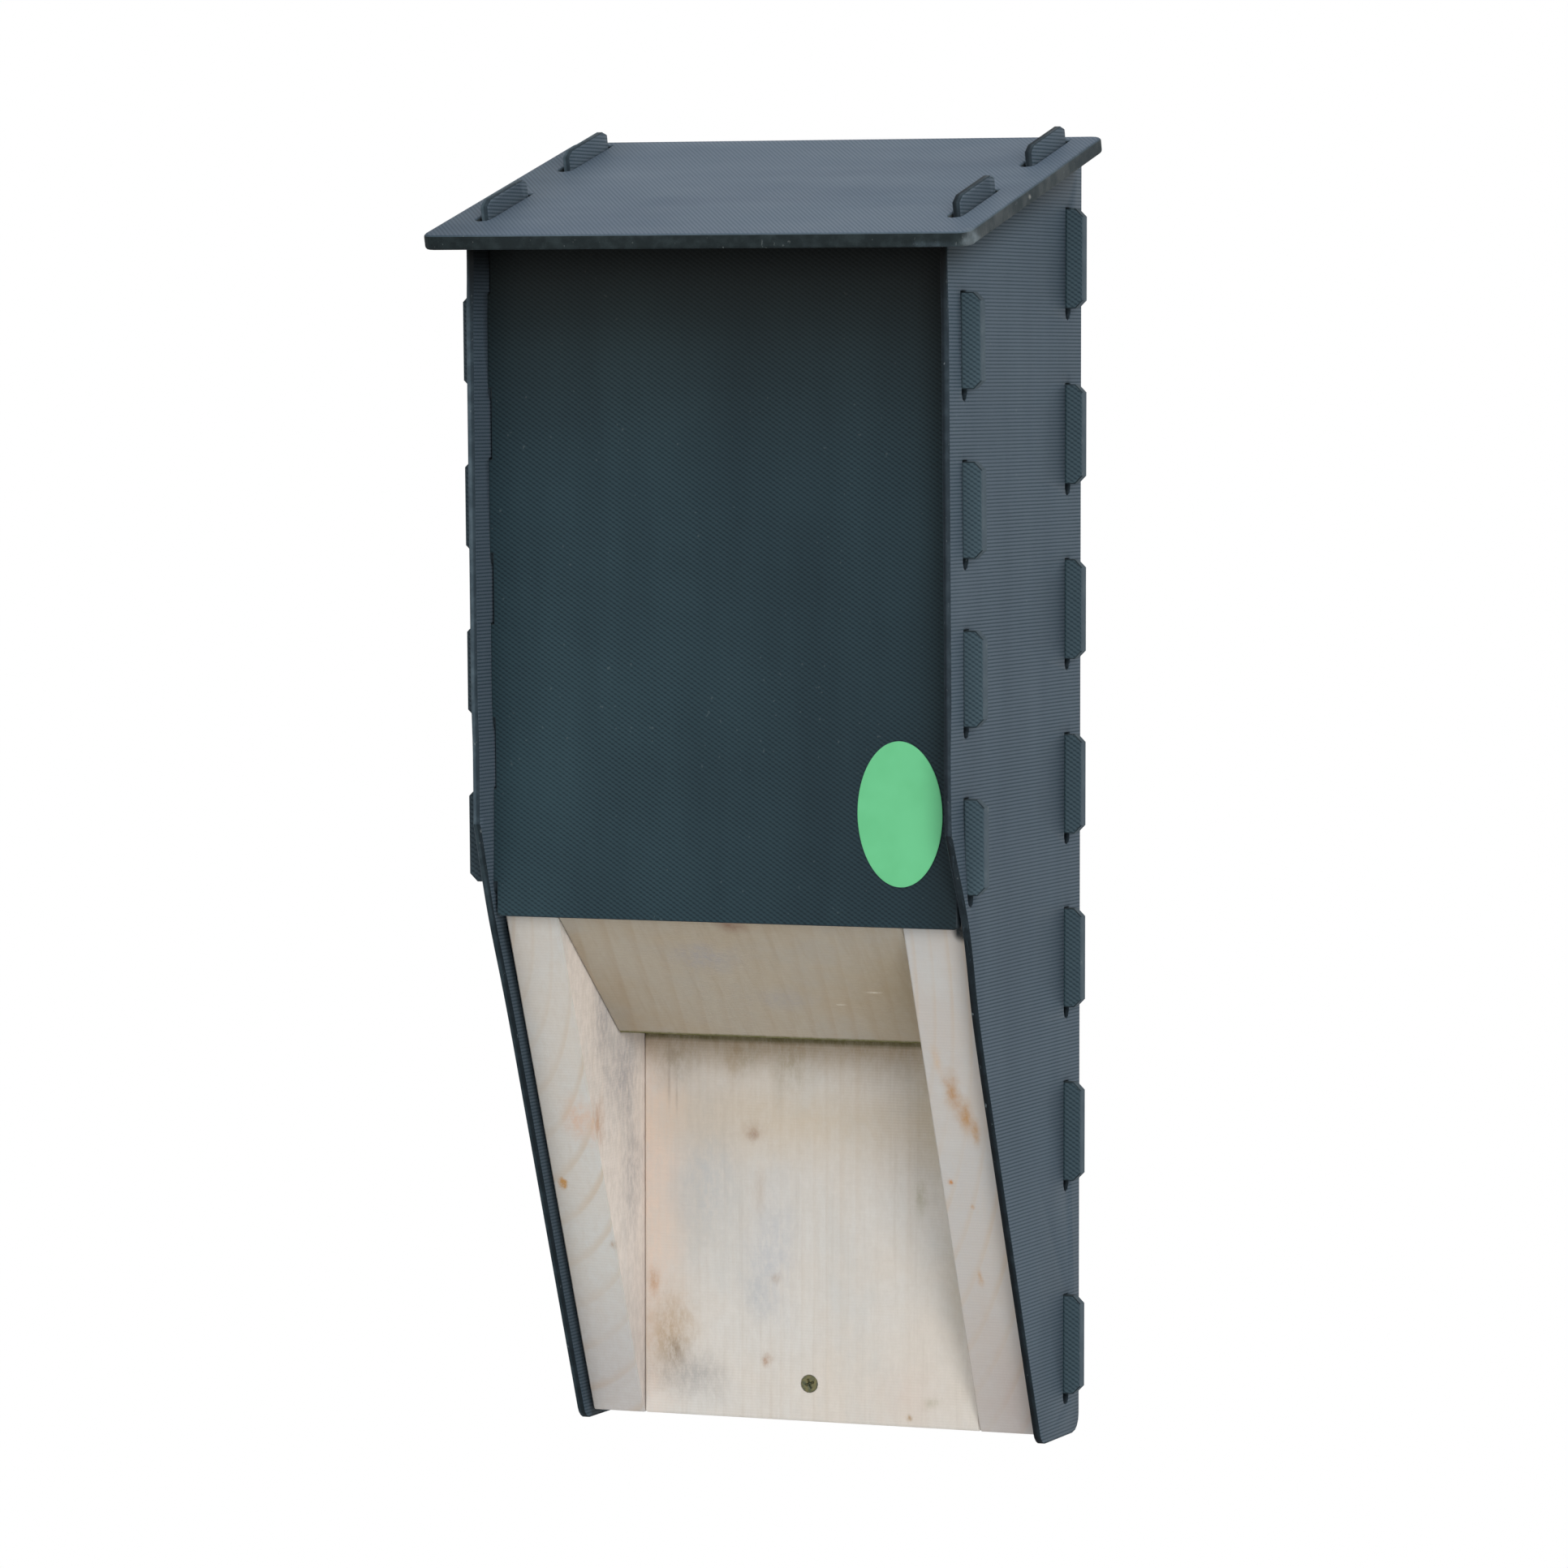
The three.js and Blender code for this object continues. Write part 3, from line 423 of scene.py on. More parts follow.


# Spots are stains or painted shade: moulds are grey, resin is orange, knots and dirt are brown, and painted shade
# lies beside the cheeks, at a corner and under the ramp
pine = {
    "axes": (right, rearward), "wander": (1, 1, 0.18), "fibre": (1, 1, 0.035), "saw": up, "pith": (0, -0.3),
    "ring": 5 * mm, "late": (0.45, 0.88), "sway": 5 * mm,
    "pale": paint(211, 206, 198), "warm": paint(212, 198, 182), "warmShare": 0.6,
    "ringColour": paint(186, 164, 138), "ringShare": 0.35, "fibreColour": paint(186, 176, 164), "fibreShare": 0.3,
    "broadShare": 0.10, "sawShare": 0.12, "cool": paint(190, 192, 190), "coolShare": 0.4, "mottleShare": 0.14,
    "spots": [],
}
timbers = {
    "cheek_left": dict(pine, pith=(-0.1064, -0.1276), ring=7.4 * mm, ringShare=0.72, late=(0.66, 0.88), sway=3 * mm,
                       pale=paint(196, 195, 191), warm=paint(198, 188, 176), mottleShare=0.3,
                       bayPaintedLight={"colour": paint(244, 233, 224), "share": 0.85}, spots=[
        stainOrShade((-0.0742, -0.077, 0.168), (0.003, 0.014, 0.032), (176, 172, 172), 0.6),
        stainOrShade((-0.0742, -0.060, 0.142), (0.003, 0.018, 0.028), (168, 166, 170), 0.6),
        stainOrShade((-0.0742, -0.050, 0.104), (0.003, 0.015, 0.034), (184, 178, 176), 0.5),
        stainOrShade((-0.0742, -0.084, 0.126), (0.006, 0.008, 0.012), (208, 170, 142), 0.6),
        stainOrShade((-0.080, -0.092, 0.126), (0.011, 0.014, 0.014), (200, 168, 146), 0.7, ragged=1.0),
        stainOrShade((-0.0926, -0.0774, 0.0998), (0.0026, 0.006, 0.0030), (184, 140, 88), 0.9, core=0.2),
        stainOrShade((-0.0752, -0.0669, 0.0749), (0.0018, 0.004, 0.0026), (150, 112, 74), 0.8),
        stainOrShade((-0.085, -0.040, 0.012), (0.040, 0.05, 0.085), (167, 158, 156), 0.5, ragged=0.6, mottled=0.1),
    ]),
    "cheek_right": dict(pine, pith=(0.034, -0.125), ring=7 * mm, ringShare=0.55, late=(0.64, 0.88), sway=3 * mm,
                        ringColour=paint(182, 163, 142), pale=paint(181, 178, 175), warm=paint(186, 175, 165), spots=[
        stainOrShade((0.0771, -0.1011, 0.1565), (0.0030, 0.010, 0.0090), (190, 160, 128), 0.6, mottled=0.3),
        stainOrShade((0.0812, -0.0960, 0.1444), (0.0056, 0.010, 0.0130), (168, 128, 86), 0.85, mottled=0.3),
        stainOrShade((0.0860, -0.0922, 0.1354), (0.0042, 0.010, 0.0112), (168, 130, 88), 0.8, mottled=0.3),
        stainOrShade((0.0887, -0.0895, 0.1288), (0.0030, 0.010, 0.0082), (170, 134, 94), 0.75, mottled=0.3),
        # Painted shade: a dark corner beside the front sheet's lower right corner
        stainOrShade((0.0952, -0.1240, 0.2100), (0.0042, 0.010, 0.0052), (34, 40, 42), 0.95, core=0.3, ragged=0.4,
              mottled=0.1),
        stainOrShade((0.0749, -0.0806, 0.1076), (0.0015, 0.004, 0.0020), (178, 124, 74), 0.9),
        stainOrShade((0.0829, -0.0765, 0.0979), (0.0012, 0.004, 0.0018), (176, 136, 96), 0.7),
        stainOrShade((0.0814, -0.0641, 0.0682), (0.0018, 0.006, 0.0048), (178, 146, 112), 0.6),
        stainOrShade((0.088, -0.040, 0.012), (0.040, 0.05, 0.085), (152, 140, 139), 0.5, ragged=0.6, mottled=0.1),
    ]),
    "back_board": dict(pine, pith=(0.05, 0.03), ring=3.1 * mm, ringShare=0.14, warmShare=0.45, sawShare=0.05,
                       broadShare=0.16, mottleShare=0.2, pale=paint(209, 205, 199), spots=[
        boardStainOrShade(-0.072, 0.11, 0.022, 0.16, (232, 209, 192), 0.6, mottled=0.4),
        boardStainOrShade(-0.046, 0.100, 0.018, 0.050, (188, 190, 190), 0.5),
        boardStainOrShade(-0.020, 0.070, 0.018, 0.040, (184, 186, 190), 0.5),
        boardStainOrShade(-0.025, 0.052, 0.010, 0.020, (170, 174, 178), 0.45),
        boardStainOrShade(-0.063, 0.035, 0.015, 0.024, (180, 158, 132), 0.6, mottled=0.6),
        boardStainOrShade(-0.052, 0.020, 0.022, 0.014, (168, 164, 160), 0.6, mottled=0.6),
        boardStainOrShade(-0.0605, 0.030, 0.007, 0.009, (140, 124, 104), 0.45, mottled=0.9),
        boardStainOrShade(-0.062, 0.150, 0.014, 0.020, (158, 152, 140), 0.6),
        boardStainOrShade(-0.033, 0.151, 0.012, 0.014, (160, 154, 138), 0.5),
        boardStainOrShade(-0.010, 0.148, 0.011, 0.016, (160, 154, 138), 0.5),
        boardStainOrShade(-0.0352, 0.147, 0.0060, 0.014, (182, 166, 148), 0.6, mottled=0.3),
        boardStainOrShade(-0.0152, 0.138, 0.0040, 0.015, (174, 167, 156), 0.5, mottled=0.3),
        boardStainOrShade(-0.0632, 0.139, 0.0011, 0.018, (158, 142, 130), 0.6, mottled=0.2),
        boardStainOrShade(-0.0598, 0.133, 0.0009, 0.012, (158, 142, 130), 0.5, mottled=0.2),
        boardStainOrShade(-0.0265, 0.119, 0.0070, 0.0060, (168, 146, 132), 0.5),
        boardStainOrShade(-0.0265, 0.118, 0.0034, 0.0030, (142, 114, 100), 0.6),
        boardStainOrShade(-0.0169, 0.0603, 0.0030, 0.0030, (168, 150, 136), 0.5),
        boardStainOrShade(-0.0205, 0.0266, 0.0036, 0.0036, (166, 134, 110), 0.7),
        boardStainOrShade(-0.0702, 0.056, 0.0036, 0.010, (190, 154, 124), 0.6),
        boardStainOrShade(0.0500, 0.013, 0.0060, 0.004, (172, 168, 148), 0.6),
        boardStainOrShade(0.0409, 0.0068, 0.0022, 0.002, (160, 132, 96), 0.8),
        boardStainOrShade(0.0455, 0.0955, 0.0040, 0.0100, (170, 165, 144), 0.5),
        boardStainOrShade(-0.0235, 0.096, 0.0045, 0.0140, (186, 168, 150), 0.45, mottled=0.3),
        boardStainOrShade(0.040, 0.016, 0.022, 0.018, (206, 188, 176), 0.4, mottled=0.3),
        # Painted shade under the ramp: a soft band, and a dark line just below its edge
        boardStainOrShade(0.0, 0.158, 0.30, 0.020, (164, 142, 110), 0.8, ragged=0.5, mottled=0.2),
        boardStainOrShade(0.0, 0.158, 0.30, 0.0034, (92, 88, 54), 0.8, core=0.3, ragged=0.4, mottled=0.2),
        # Painted shade beside the right cheek
        boardStainOrShade(0.056, 0.132, 0.020, 0.044, (160, 142, 100), 0.55, ragged=0.5, mottled=0.2),
        boardStainOrShade(0.068, 0.072, 0.015, 0.044, (164, 146, 108), 0.5, ragged=0.5, mottled=0.2),
        # A wider, fainter painted shade below the ramp
        boardStainOrShade(0.0, 0.125, 0.11, 0.022, (196, 176, 146), 0.45, ragged=0.6, mottled=0.2),
    ]),
    "front_board": dict(pine, pith=(0.02, -0.20), ring=4 * mm),
    "centre_baffle": dict(pine, pith=(-0.03, 0.02), ring=4 * mm),
    "entrance_ramp": dict(pine, axes=((1, 0.12, -0.10), (0, 0.64, 0.77)), wander=(1, 0.18, 0.18),
                          fibre=(1, 0.05, 0.05), saw=(0, 0.77, -0.64), pith=(-0.16, 0.16), ring=8 * mm,
                          sway=9 * mm, ringShare=0.28, warmShare=0.7, pale=paint(168, 159, 144),
                          warm=paint(164, 148, 124), fibreColour=paint(146, 132, 112), cool=paint(156, 152, 144),
                          ringColour=paint(148, 126, 98), spots=[
        stainOrShade((-0.001, -0.1228, 0.2097), (0.0090, 0.008, 0.006), (124, 92, 76), 0.7, ragged=0.8, mottled=0.3),
        stainOrShade((-0.0186, -0.105, 0.195), (0.022, 0.014, 0.012), (148, 146, 148), 0.5),
        stainOrShade((0.004, -0.085, 0.178), (0.020, 0.012, 0.010), (152, 148, 146), 0.4),
        # Painted shade near the right cheek
        stainOrShade((0.074, -0.09, 0.18), (0.05, 0.06, 0.05), (142, 126, 94), 0.5, ragged=0.5, mottled=0.2),
        stainOrShade((0.0459, -0.0897, 0.1821), (0.0050, 0.0009, 0.0008), (206, 197, 182), 0.55),
        stainOrShade((0.0295, -0.0826, 0.1762), (0.0032, 0.0008, 0.0007), (206, 197, 182), 0.5),
        # Painted shade: a dark line along the ramp's lower edge
        stainOrShade((0.0, -0.0624, 0.1593), (0.30, 0.0030, 0.0030), (92, 90, 50), 0.9, core=0.5, ragged=0.4, mottled=0.2),
    ]),
}
timberFinishes = {node: timberFinish(node + "_timber", look) for node, look in timbers.items()}
print("timber finishes made:", len(timberFinishes))


zincLook = {"bloom": 700, "dull": 2600, "bright": paint(118, 112, 78), "passive": paint(86, 92, 74),
            "spots": paint(56, 54, 42), "relief": 0.03 * mm}


def zincFinish():
    recipe = Recipe("screw_yellow_zinc", {"Metallic": 0.75})
    place = recipe.place()
    bloom = recipe.cloud(place, zincLook["bloom"], 3.0)
    dull = recipe.cloud(place, zincLook["dull"], 2.0)
    colour = recipe.blend(zincLook["bright"], zincLook["passive"], bloom.between(0.35, 0.65))
    colour = recipe.blend(colour, zincLook["spots"], dull.between(0.58, 0.72) * 0.7)
    rough = 0.42 + bloom * 0.2
    return recipe.finish(colour=colour, roughness=rough, normal=recipe.relief(dull, zincLook["relief"]))


vinylLook = {"haze": 40, "speck": 1500, "deep": paint(96, 181, 126), "light": paint(102, 188, 133),
             "relief": 0.012 * mm}


def vinylFinish():
    recipe = Recipe("label_green_vinyl", {"Specular IOR Level": 0.25})
    place = recipe.place()
    haze = recipe.cloud(place, vinylLook["haze"], 3.0)
    speck = recipe.cloud(place, vinylLook["speck"], 2.0)
    colour = recipe.blend(vinylLook["deep"], vinylLook["light"], haze.between(0.35, 0.65))
    rough = 0.46 + haze * 0.12
    return recipe.finish(colour=colour, roughness=rough, normal=recipe.relief(speck, vinylLook["relief"]))


zinc = zincFinish()
vinyl = vinylFinish()


# Makes an object of points and faces that already stand in their place
def newPiece(name, points, faces, material):
    mesh = bpy.data.meshes.new(name)
    mesh.from_pydata(points.tolist(), [], faces)
    mesh.polygons.foreach_set("use_smooth", np.ones(len(mesh.polygons), dtype=bool))
    mesh.update()
    made = bpy.data.objects.new(name, mesh)
    bpy.context.scene.collection.objects.link(made)
    mesh.materials.append(material)
    return made


# Quads of a grid that closes on itself round its columns, with a fan over its first and last rows
def closedGridFaces(rowCount, columnCount):
    row, column = np.meshgrid(np.arange(rowCount - 1), np.arange(columnCount), indexing="ij")
    after = (column + 1) % columnCount
    quads = np.stack([row * columnCount + column, row * columnCount + after,
                      (row + 1) * columnCount + after, (row + 1) * columnCount + column], -1).reshape(-1, 4)
    top, foot = rowCount * columnCount, rowCount * columnCount + 1
    turn = np.arange(columnCount)
    beside = (turn + 1) % columnCount
    lid = np.stack([np.full(columnCount, top), beside, turn], -1)
    last = (rowCount - 1) * columnCount
    sole = np.stack([np.full(columnCount, foot), last + turn, last + beside], -1)
    return quads.tolist() + lid.tolist() + sole.tolist()


bow = {"bulge": {-1: 0.9, 1: 1.7}, "bulgeAt": 212, "bulgeSpread": 27, "swell": 0.45,
       "swellReach": (276, 300, 440, 468), "fade": (24, 95), "depth": 152.5,
       "slices": {"z": (120, 474, 6), "y": (-150, -52, 7)}, "weld": 0.004, "sliceWeld": 0.002, "sharpAngle": 28}


# Runs smoothly from 0 to 1: three times the squared share less twice its cube
def eased(value, low, high):
    share = np.clip((value - low) / (high - low), 0, 1)
    return share ** 2 * (3 - 2 * share)


burrs = {"from": 198, "to": 276, "step": 6, "sample": 0.6, "outerBias": 0.01, "count": 34, "short": 0.8,
         "long": 3.6, "sheetEdge": (0.1, 2.7), "rooted": 0.15, "stray": 0.30, "forwards": (-0.35, 0.0),
         "curl": (-0.5, 0.1), "thickness": 0.17, "taper": 0.8, "rings": 8, "columns": 6, "seed": 11}


# Shavings left by the saw on a sheet's front edge: thin tapering strands. A strand runs up or down the edge, bends
# forwards with the square of the way along it, and its radius falls off to a fifth.
def burrShapes(points, side):
    chance = np.random.default_rng(burrs["seed"])
    heights = np.arange(burrs["from"], burrs["to"], burrs["step"])
    near = [points[np.abs(points[:, 2] - height * mm) < burrs["sample"] * mm] for height in heights]
    edge = np.array([row[np.argmin(row[:, 1] - side * row[:, 0] * burrs["outerBias"])] for row in near])
    count = burrs["count"]
    rise = chance.uniform(heights[0], heights[-1], count) * mm
    root = np.stack([np.interp(rise, edge[:, 2], edge[:, k]) for k in range(3)], -1)
    root[:, 0] -= side * chance.uniform(*burrs["sheetEdge"], count) * mm
    root[:, 1] += burrs["rooted"] * mm
    length = chance.uniform(burrs["short"], burrs["long"], count) * mm
    run = np.stack([chance.normal(0, burrs["stray"], count), chance.uniform(*burrs["forwards"], count),
                    chance.choice([-1, 1], count)], -1)
    bend = np.stack([chance.normal(0, burrs["stray"], count), chance.uniform(*burrs["curl"], count),
                     np.zeros(count)], -1)
    way = np.linspace(0, 1, burrs["rings"])[None, :, None]
    middle = root[:, None] + length[:, None, None] * (way * run[:, None] + way ** 2 * bend[:, None])
    turns = np.linspace(0, 2 * np.pi, burrs["columns"], endpoint=False)
    across = np.stack([np.cos(turns), np.sin(turns), np.zeros_like(turns)], -1)
    radius = burrs["thickness"] * mm * (1 - burrs["taper"] * way)
    rings = middle[:, :, None] + radius[..., None] * across[None, None]
    strands = np.concatenate([rings.reshape(count, -1, 3), middle[:, [0, -1]]], 1)
    pattern = closedGridFaces(burrs["rings"], burrs["columns"])
    faces = [[corner + number * strands.shape[1] for corner in face] for number in range(count) for face in pattern]
    return strands.reshape(-1, 3), faces


# Joins the strands to the mesh of a sheet
def addBurrs(mesh, points, side):
    strands = bpy.data.meshes.new(mesh.name + "_burrs")
    corners, faces = burrShapes(points, side)
    strands.from_pydata(corners.tolist(), [], faces)
    shape = bmesh.new()
    shape.from_mesh(mesh)
    shape.from_mesh(strands)
    shape.to_mesh(mesh)
    shape.free()
    bpy.data.meshes.remove(strands)


# Side sheet as sawn, cut into narrow strips and pushed outwards by a bulge, a bell curve over the height, plus a
# slight swell over the upper part. Both fade smoothly from the front edge towards the back.
def bowedSheet(node, side):
    shape = bmesh.new()
    shape.from_mesh(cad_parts[node].data)
    bmesh.ops.remove_doubles(shape, verts=shape.verts, dist=bow["weld"] * mm)
    for axis, (start, stop, step) in bow["slices"].items():
        normal = Vector(rearward if axis == "y" else up)
        for cut in range(start, stop, step):
            everything = shape.verts[:] + shape.edges[:] + shape.faces[:]
            bmesh.ops.bisect_plane(shape, geom=everything, plane_co=normal * cut * mm, plane_no=normal,
                                   dist=bow["sliceWeld"] * mm)
    mesh = bpy.data.meshes.new(node + "_bowed")
    shape.to_mesh(mesh)
    shape.free()
    points = np.empty(3 * len(mesh.vertices))
    mesh.vertices.foreach_get("co", points)
    points = points.reshape(-1, 3)
    depth, height = points[:, 1] / mm + bow["depth"], points[:, 2] / mm
    low, full, still, high = bow["swellReach"]
    push = bow["bulge"][side] * np.exp(-((height - bow["bulgeAt"]) / bow["bulgeSpread"]) ** 2)
    push += bow["swell"] * eased(height, low, full) * (1 - eased(height, still, high))
    points[:, 0] += side * push * (1 - eased(depth, *bow["fade"])) * mm
    mesh.vertices.foreach_set("co", points.ravel())
    mesh.polygons.foreach_set("use_smooth", np.ones(len(mesh.polygons), dtype=bool))
    mesh.set_sharp_from_angle(angle=math.radians(bow["sharpAngle"]))
    if side > 0:
        addBurrs(mesh, points, side)
    mesh.materials.clear()
    mesh.materials.append(sidePlastic)
    mesh.update()
    made = bpy.data.objects.new(node + "_bowed", mesh)
    bpy.context.scene.collection.objects.link(made)
    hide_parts(node)
    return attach(made, "root")


for node, side in {"side_left": -1, "side_right": 1}.items():
    made = bowedSheet(node, side)
    print("bowed", node, len(made.data.polygons), "faces")


screw = {"headRadius": 3.5, "headDepth": 2.2, "rim": 0.3, "coreRadius": 1.3, "crestRadius": 1.7, "threadPitch": 1.6,
         "point": 5.0, "threadWidth": 0.13, "blunt": 0.03, "neck": 0.3, "edge": 0.06, "recessRadius": 2.0,
         "recessDepth": 1.3, "recessHalf": 0.38, "recessWall": 0.05, "recessEnd": 0.06, "recessRise": 0.35,
         "sunk": 0.02, "innermost": 0.25, "pastRecess": (0.3, 0.6), "insideRim": 0.1, "columns": 48,
         "recessRows": 12, "faceRows": 4, "coneRows": 6, "rowsPerMm": 6, "pointRows": 24,
         "gaps": {"cone": 0.3, "shank": 0.4, "point": 0.2, "tip": 0.3}, "spinStep": 0.7, "spinAtBack": 22}


# Screw upright about its own axis, with its head's face at nought and its point below. A row's radius follows the
# profile, the shank's radius swells to the crest where the height and the turn add up to a whole thread, and the
# face sinks towards a cross, deepest where either arm's distance is small.
def screwPoints(length):
    turns = np.linspace(0, 2 * np.pi, screw["columns"], endpoint=False)
    inner, outer = (screw["recessRadius"] + past for past in screw["pastRecess"])
    faceRadius = np.concatenate([np.linspace(screw["innermost"], inner, screw["recessRows"]),
                                 np.linspace(outer, screw["headRadius"] - screw["insideRim"], screw["faceRows"])])
    x, y = np.outer(faceRadius, np.cos(turns)), np.outer(faceRadius, np.sin(turns))
    arm = np.minimum(np.abs(x), np.abs(y))
    reach = np.hypot(x, y)
    wall = 1 / (1 + np.exp((arm - screw["recessHalf"]) / screw["recessWall"]))
    end = 1 / (1 + np.exp((reach - screw["recessRadius"]) / screw["recessEnd"]))
    depth = screw["recessDepth"] * wall * end * (1 - screw["recessRise"] * reach / screw["recessRadius"])
    face = np.stack([x, y, -screw["sunk"] - depth], -1)

    low, gaps = -length + screw["point"], screw["gaps"]
    heights = np.concatenate([[-screw["edge"], -screw["rim"]],
                              np.linspace(-screw["rim"] - gaps["cone"], -screw["headDepth"], screw["coneRows"]),
                              np.linspace(-screw["headDepth"] - gaps["shank"], low, int(length * screw["rowsPerMm"])),
                              np.linspace(low - gaps["point"], -length + gaps["tip"], screw["pointRows"])])
    taper = np.clip((heights + length) / screw["point"], 0, 1)
    neckRadius = screw["coreRadius"] + screw["neck"]
    cone = np.interp(heights, [-screw["headDepth"], -screw["rim"]], [neckRadius, screw["headRadius"]])
    phase = (heights[:, None] / screw["threadPitch"] - turns[None] / (2 * np.pi)) % 1
    crest = np.exp(-((phase - 0.5) / screw["threadWidth"]) ** 2)
    shank = screw["coreRadius"] + (screw["crestRadius"] - screw["coreRadius"]) * crest
    shank = shank * taper[:, None] + screw["blunt"]
    radius = np.where(heights[:, None] >= -screw["headDepth"], cone[:, None], shank)
    body = np.stack([radius * np.cos(turns), radius * np.sin(turns), np.repeat(heights[:, None], len(turns), 1)], -1)
    rows = np.concatenate([face, body])
    ends = np.array([[0, 0, -screw["sunk"] - screw["recessDepth"]], [0, 0, -length]])
    return np.concatenate([rows.reshape(-1, 3), ends]), len(rows)


# Stands a screw where its CAD node's box says, with its head at the given end of an axis
def setScrew(node, axis, headAtHigh, spin):
    low, high = (np.array(corner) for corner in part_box(node))
    points, rowCount = screwPoints((high[axis] - low[axis]) / mm)
    c, s = math.cos(spin), math.sin(spin)
    points = points @ np.array([[c, s, 0], [-s, c, 0], [0, 0, 1]])
    other = [k for k in range(3) if k != axis]
    placed = np.empty_like(points)
    sign = 1 if headAtHigh else -1
    placed[:, axis] = (high if headAtHigh else low)[axis] + sign * points[:, 2] * mm
    middle = (low + high) / 2
    flip = sign if axis != 1 else -sign
    placed[:, other[0]] = middle[other[0]] + flip * points[:, 0] * mm
    placed[:, other[1]] = middle[other[1]] + points[:, 1] * mm
    made = newPiece(node + "_turned", placed, closedGridFaces(rowCount, screw["columns"]), zinc)
    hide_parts(node)
    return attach(made, "root")


screwNodes = sorted(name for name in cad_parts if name.startswith("screw_"))
for count, node in enumerate(screwNodes):
    low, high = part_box(node)
    if high[0] - low[0] > high[1] - low[1]:
        setScrew(node, 0, low[0] > 0, count * screw["spinStep"])
    else:
        setScrew(node, 1, False, math.radians(screw["spinAtBack"]))
print("screws turned:", len(screwNodes))


label = {"halfWidth": 17.5, "halfHeight": 28.2, "thickness": 0.3, "columns": 160,
         "inset": (9.0, 4.0, 1.2, 0.12, 0.03, 0.0, 0.0, 0.1, 1.0, 6.0),
         "lift": (0, 0, 0, 0, -0.03, -0.12, -0.27, -0.3, -0.3, -0.3)}


# Oval sticker: rings of an ellipse, whose face drops over its rounding to the rim and closes under it
def setLabel():
    low, high = (np.array(corner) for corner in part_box("label"))
    turns = np.linspace(0, 2 * np.pi, label["columns"], endpoint=False)
    inset, lift = np.array(label["inset"]), np.array(label["lift"])
    across = (label["halfWidth"] - inset)[:, None] * np.cos(turns)
    along = (label["halfHeight"] - inset)[:, None] * np.sin(turns)
    rise = np.repeat(lift[:, None], len(turns), 1)
    rings = np.stack([across, along, rise], -1).reshape(-1, 3)
    flat = np.concatenate([rings, [[0, 0, 0], [0, 0, -label["thickness"]]]])
    middle = (low + high) / 2 + np.array(frontOut) * label["thickness"] / 2 * mm
    axes = np.array([(1.0, 0, 0), frontUp, frontOut])
    made = newPiece("label_sticker", middle + mm * (flat @ axes), closedGridFaces(len(inset), len(turns)), vinyl)
    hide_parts("label")
    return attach(made, "root")


setLabel()

for node, material in {"roof": roofPlastic, "front_panel": frontPlastic, "back_panel": backPlastic,
                       "side_left": sidePlastic, "side_right": sidePlastic, **timberFinishes}.items():
    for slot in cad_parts[node].material_slots:
        slot.material = material
print("finishes given to the packed pieces")


# The largest of some sockets
def linkedShare(tree, *sources):
    shown = sources[0]
    for source in sources[1:]:
        larger = tree.nodes.new("ShaderNodeMath")
        larger.operation = "MAXIMUM"
        tree.links.new(shown, larger.inputs[0])
        tree.links.new(source, larger.inputs[1])
        shown = larger.outputs[0]
    return shown


stage = {"floor": -0.3, "floorHalf": 30, "floorTone": paint(236, 236, 236), "fade": (0.25, 0.9), "soft": 0.55,
         "softTone": (0.95, 0.98, 1.0, 1), "white": (1, 1, 1, 1)}


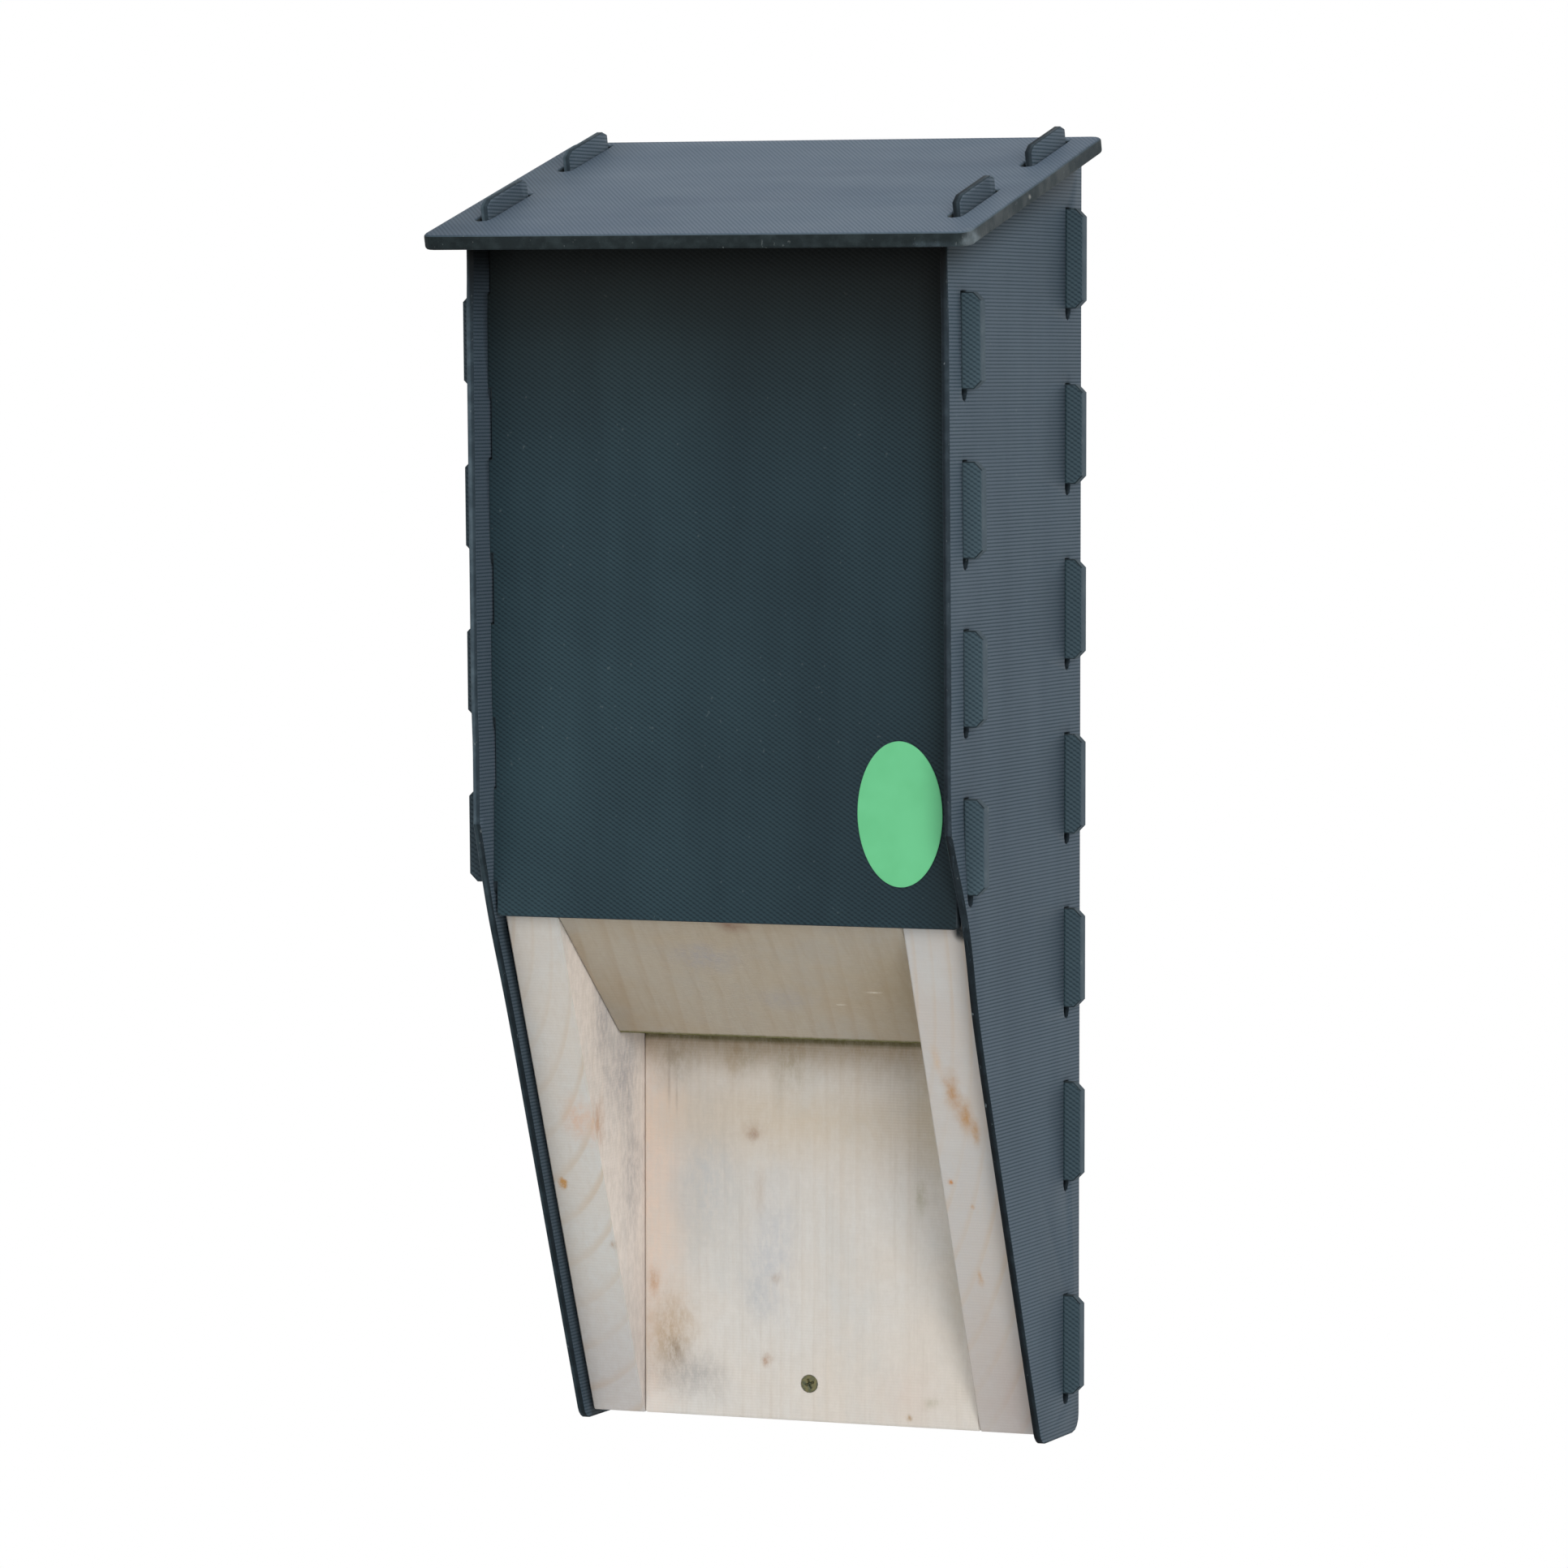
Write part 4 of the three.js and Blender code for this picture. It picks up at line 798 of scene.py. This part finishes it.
# Pale floor that fades to plain white away from the box, under a soft sky
def setStage():
    recipe = Recipe("floor_pale", {"Roughness": 0.9, "Base Color": stage["floorTone"]})
    away = recipe.node("ShaderNodeVectorMath", {"operation": "LENGTH"}, {0: recipe.place()}, out=1)
    seen = recipe.node("ShaderNodeLightPath")
    glow = recipe.node("ShaderNodeEmission", {}, {"Color": stage["white"], "Strength": 1.0})
    mixed = recipe.node("ShaderNodeMixShader", {}, {0: seen * away.between(*stage["fade"])})
    recipe.links.new(recipe.shader.outputs[0], mixed.socket.node.inputs[1])
    recipe.links.new(glow.socket, mixed.socket.node.inputs[2])
    recipe.links.new(mixed.socket, recipe.nodes["Material Output"].inputs["Surface"])
    mesh = bpy.data.meshes.new("floor")
    half, height = stage["floorHalf"], stage["floor"]
    corners = [(-half, -half, height), (half, -half, height), (half, half, height), (-half, half, height)]
    mesh.from_pydata(corners, [], [(0, 1, 2, 3)])
    mesh.materials.append(recipe.material)
    floor = bpy.data.objects.new("floor", mesh)
    bpy.context.scene.collection.objects.link(floor)

    world = bpy.data.worlds.new("soft_white")
    bpy.context.scene.world = world
    world.use_nodes = True
    tree = world.node_tree
    tree.nodes.clear()
    path = tree.nodes.new("ShaderNodeLightPath")
    rays = ("Is Camera Ray", "Is Transmission Ray", "Is Glossy Ray")
    shown = linkedShare(tree, *(path.outputs[name] for name in rays))
    soft = tree.nodes.new("ShaderNodeBackground")
    soft.inputs["Color"].default_value = stage["softTone"]
    soft.inputs["Strength"].default_value = stage["soft"]
    white = tree.nodes.new("ShaderNodeBackground")
    white.inputs["Color"].default_value = stage["white"]
    white.inputs["Strength"].default_value = 1.0
    mix = tree.nodes.new("ShaderNodeMixShader")
    tree.links.new(shown, mix.inputs[0])
    tree.links.new(soft.outputs[0], mix.inputs[1])
    tree.links.new(white.outputs[0], mix.inputs[2])
    end = tree.nodes.new("ShaderNodeOutputWorld")
    tree.links.new(mix.outputs[0], end.inputs["Surface"])


# Square lamps, all aimed at the same place
lampAim = (0, -0.07, 0.26)
lamps = {
    "key": {"at": (1.9, -2.5, 1.1), "size": 1.1, "power": 38},
    "sky": {"at": (0.1, -0.9, 2.7), "size": 2.0, "power": 30},
    "fill": {"at": (-1.9, -2.2, 0.9), "size": 1.8, "power": 8},
    "rear": {"at": (-0.7, 2.8, 0.7), "size": 2.0, "power": 26},
}


def setLamps():
    aim = Vector(lampAim)
    for name, lamp in lamps.items():
        data = bpy.data.lights.new(name, "AREA")
        data.shape = "SQUARE"
        data.size = lamp["size"]
        data.energy = lamp["power"]
        made = bpy.data.objects.new(name, data)
        made.location = lamp["at"]
        made.rotation_euler = (aim - made.location).to_track_quat("-Z", "Y").to_euler()
        bpy.context.scene.collection.objects.link(made)


# The view that the photo was taken from
shot = {"azimuth": 21.90, "elevation": 3.311, "distance": 2.8824, "aim": (0, -0.0693, 0.2620), "lens": 166.91,
        "sensor": 36}


def setCamera():
    turn, rise = math.radians(shot["azimuth"]), math.radians(shot["elevation"])
    back = Vector((math.sin(turn) * math.cos(rise), -math.cos(turn) * math.cos(rise), math.sin(rise)))
    data = bpy.data.cameras.new("photo_view")
    data.sensor_width = shot["sensor"]
    data.lens = shot["lens"]
    camera = bpy.data.objects.new("photo_view", data)
    camera.location = Vector(shot["aim"]) + back * shot["distance"]
    camera.rotation_euler = (-back).to_track_quat("-Z", "Y").to_euler()
    bpy.context.scene.collection.objects.link(camera)
    bpy.context.scene.camera = camera


setStage()
setLamps()
setCamera()
bpy.context.scene.view_settings.view_transform = "Standard"
print("stage, lamps and camera set")
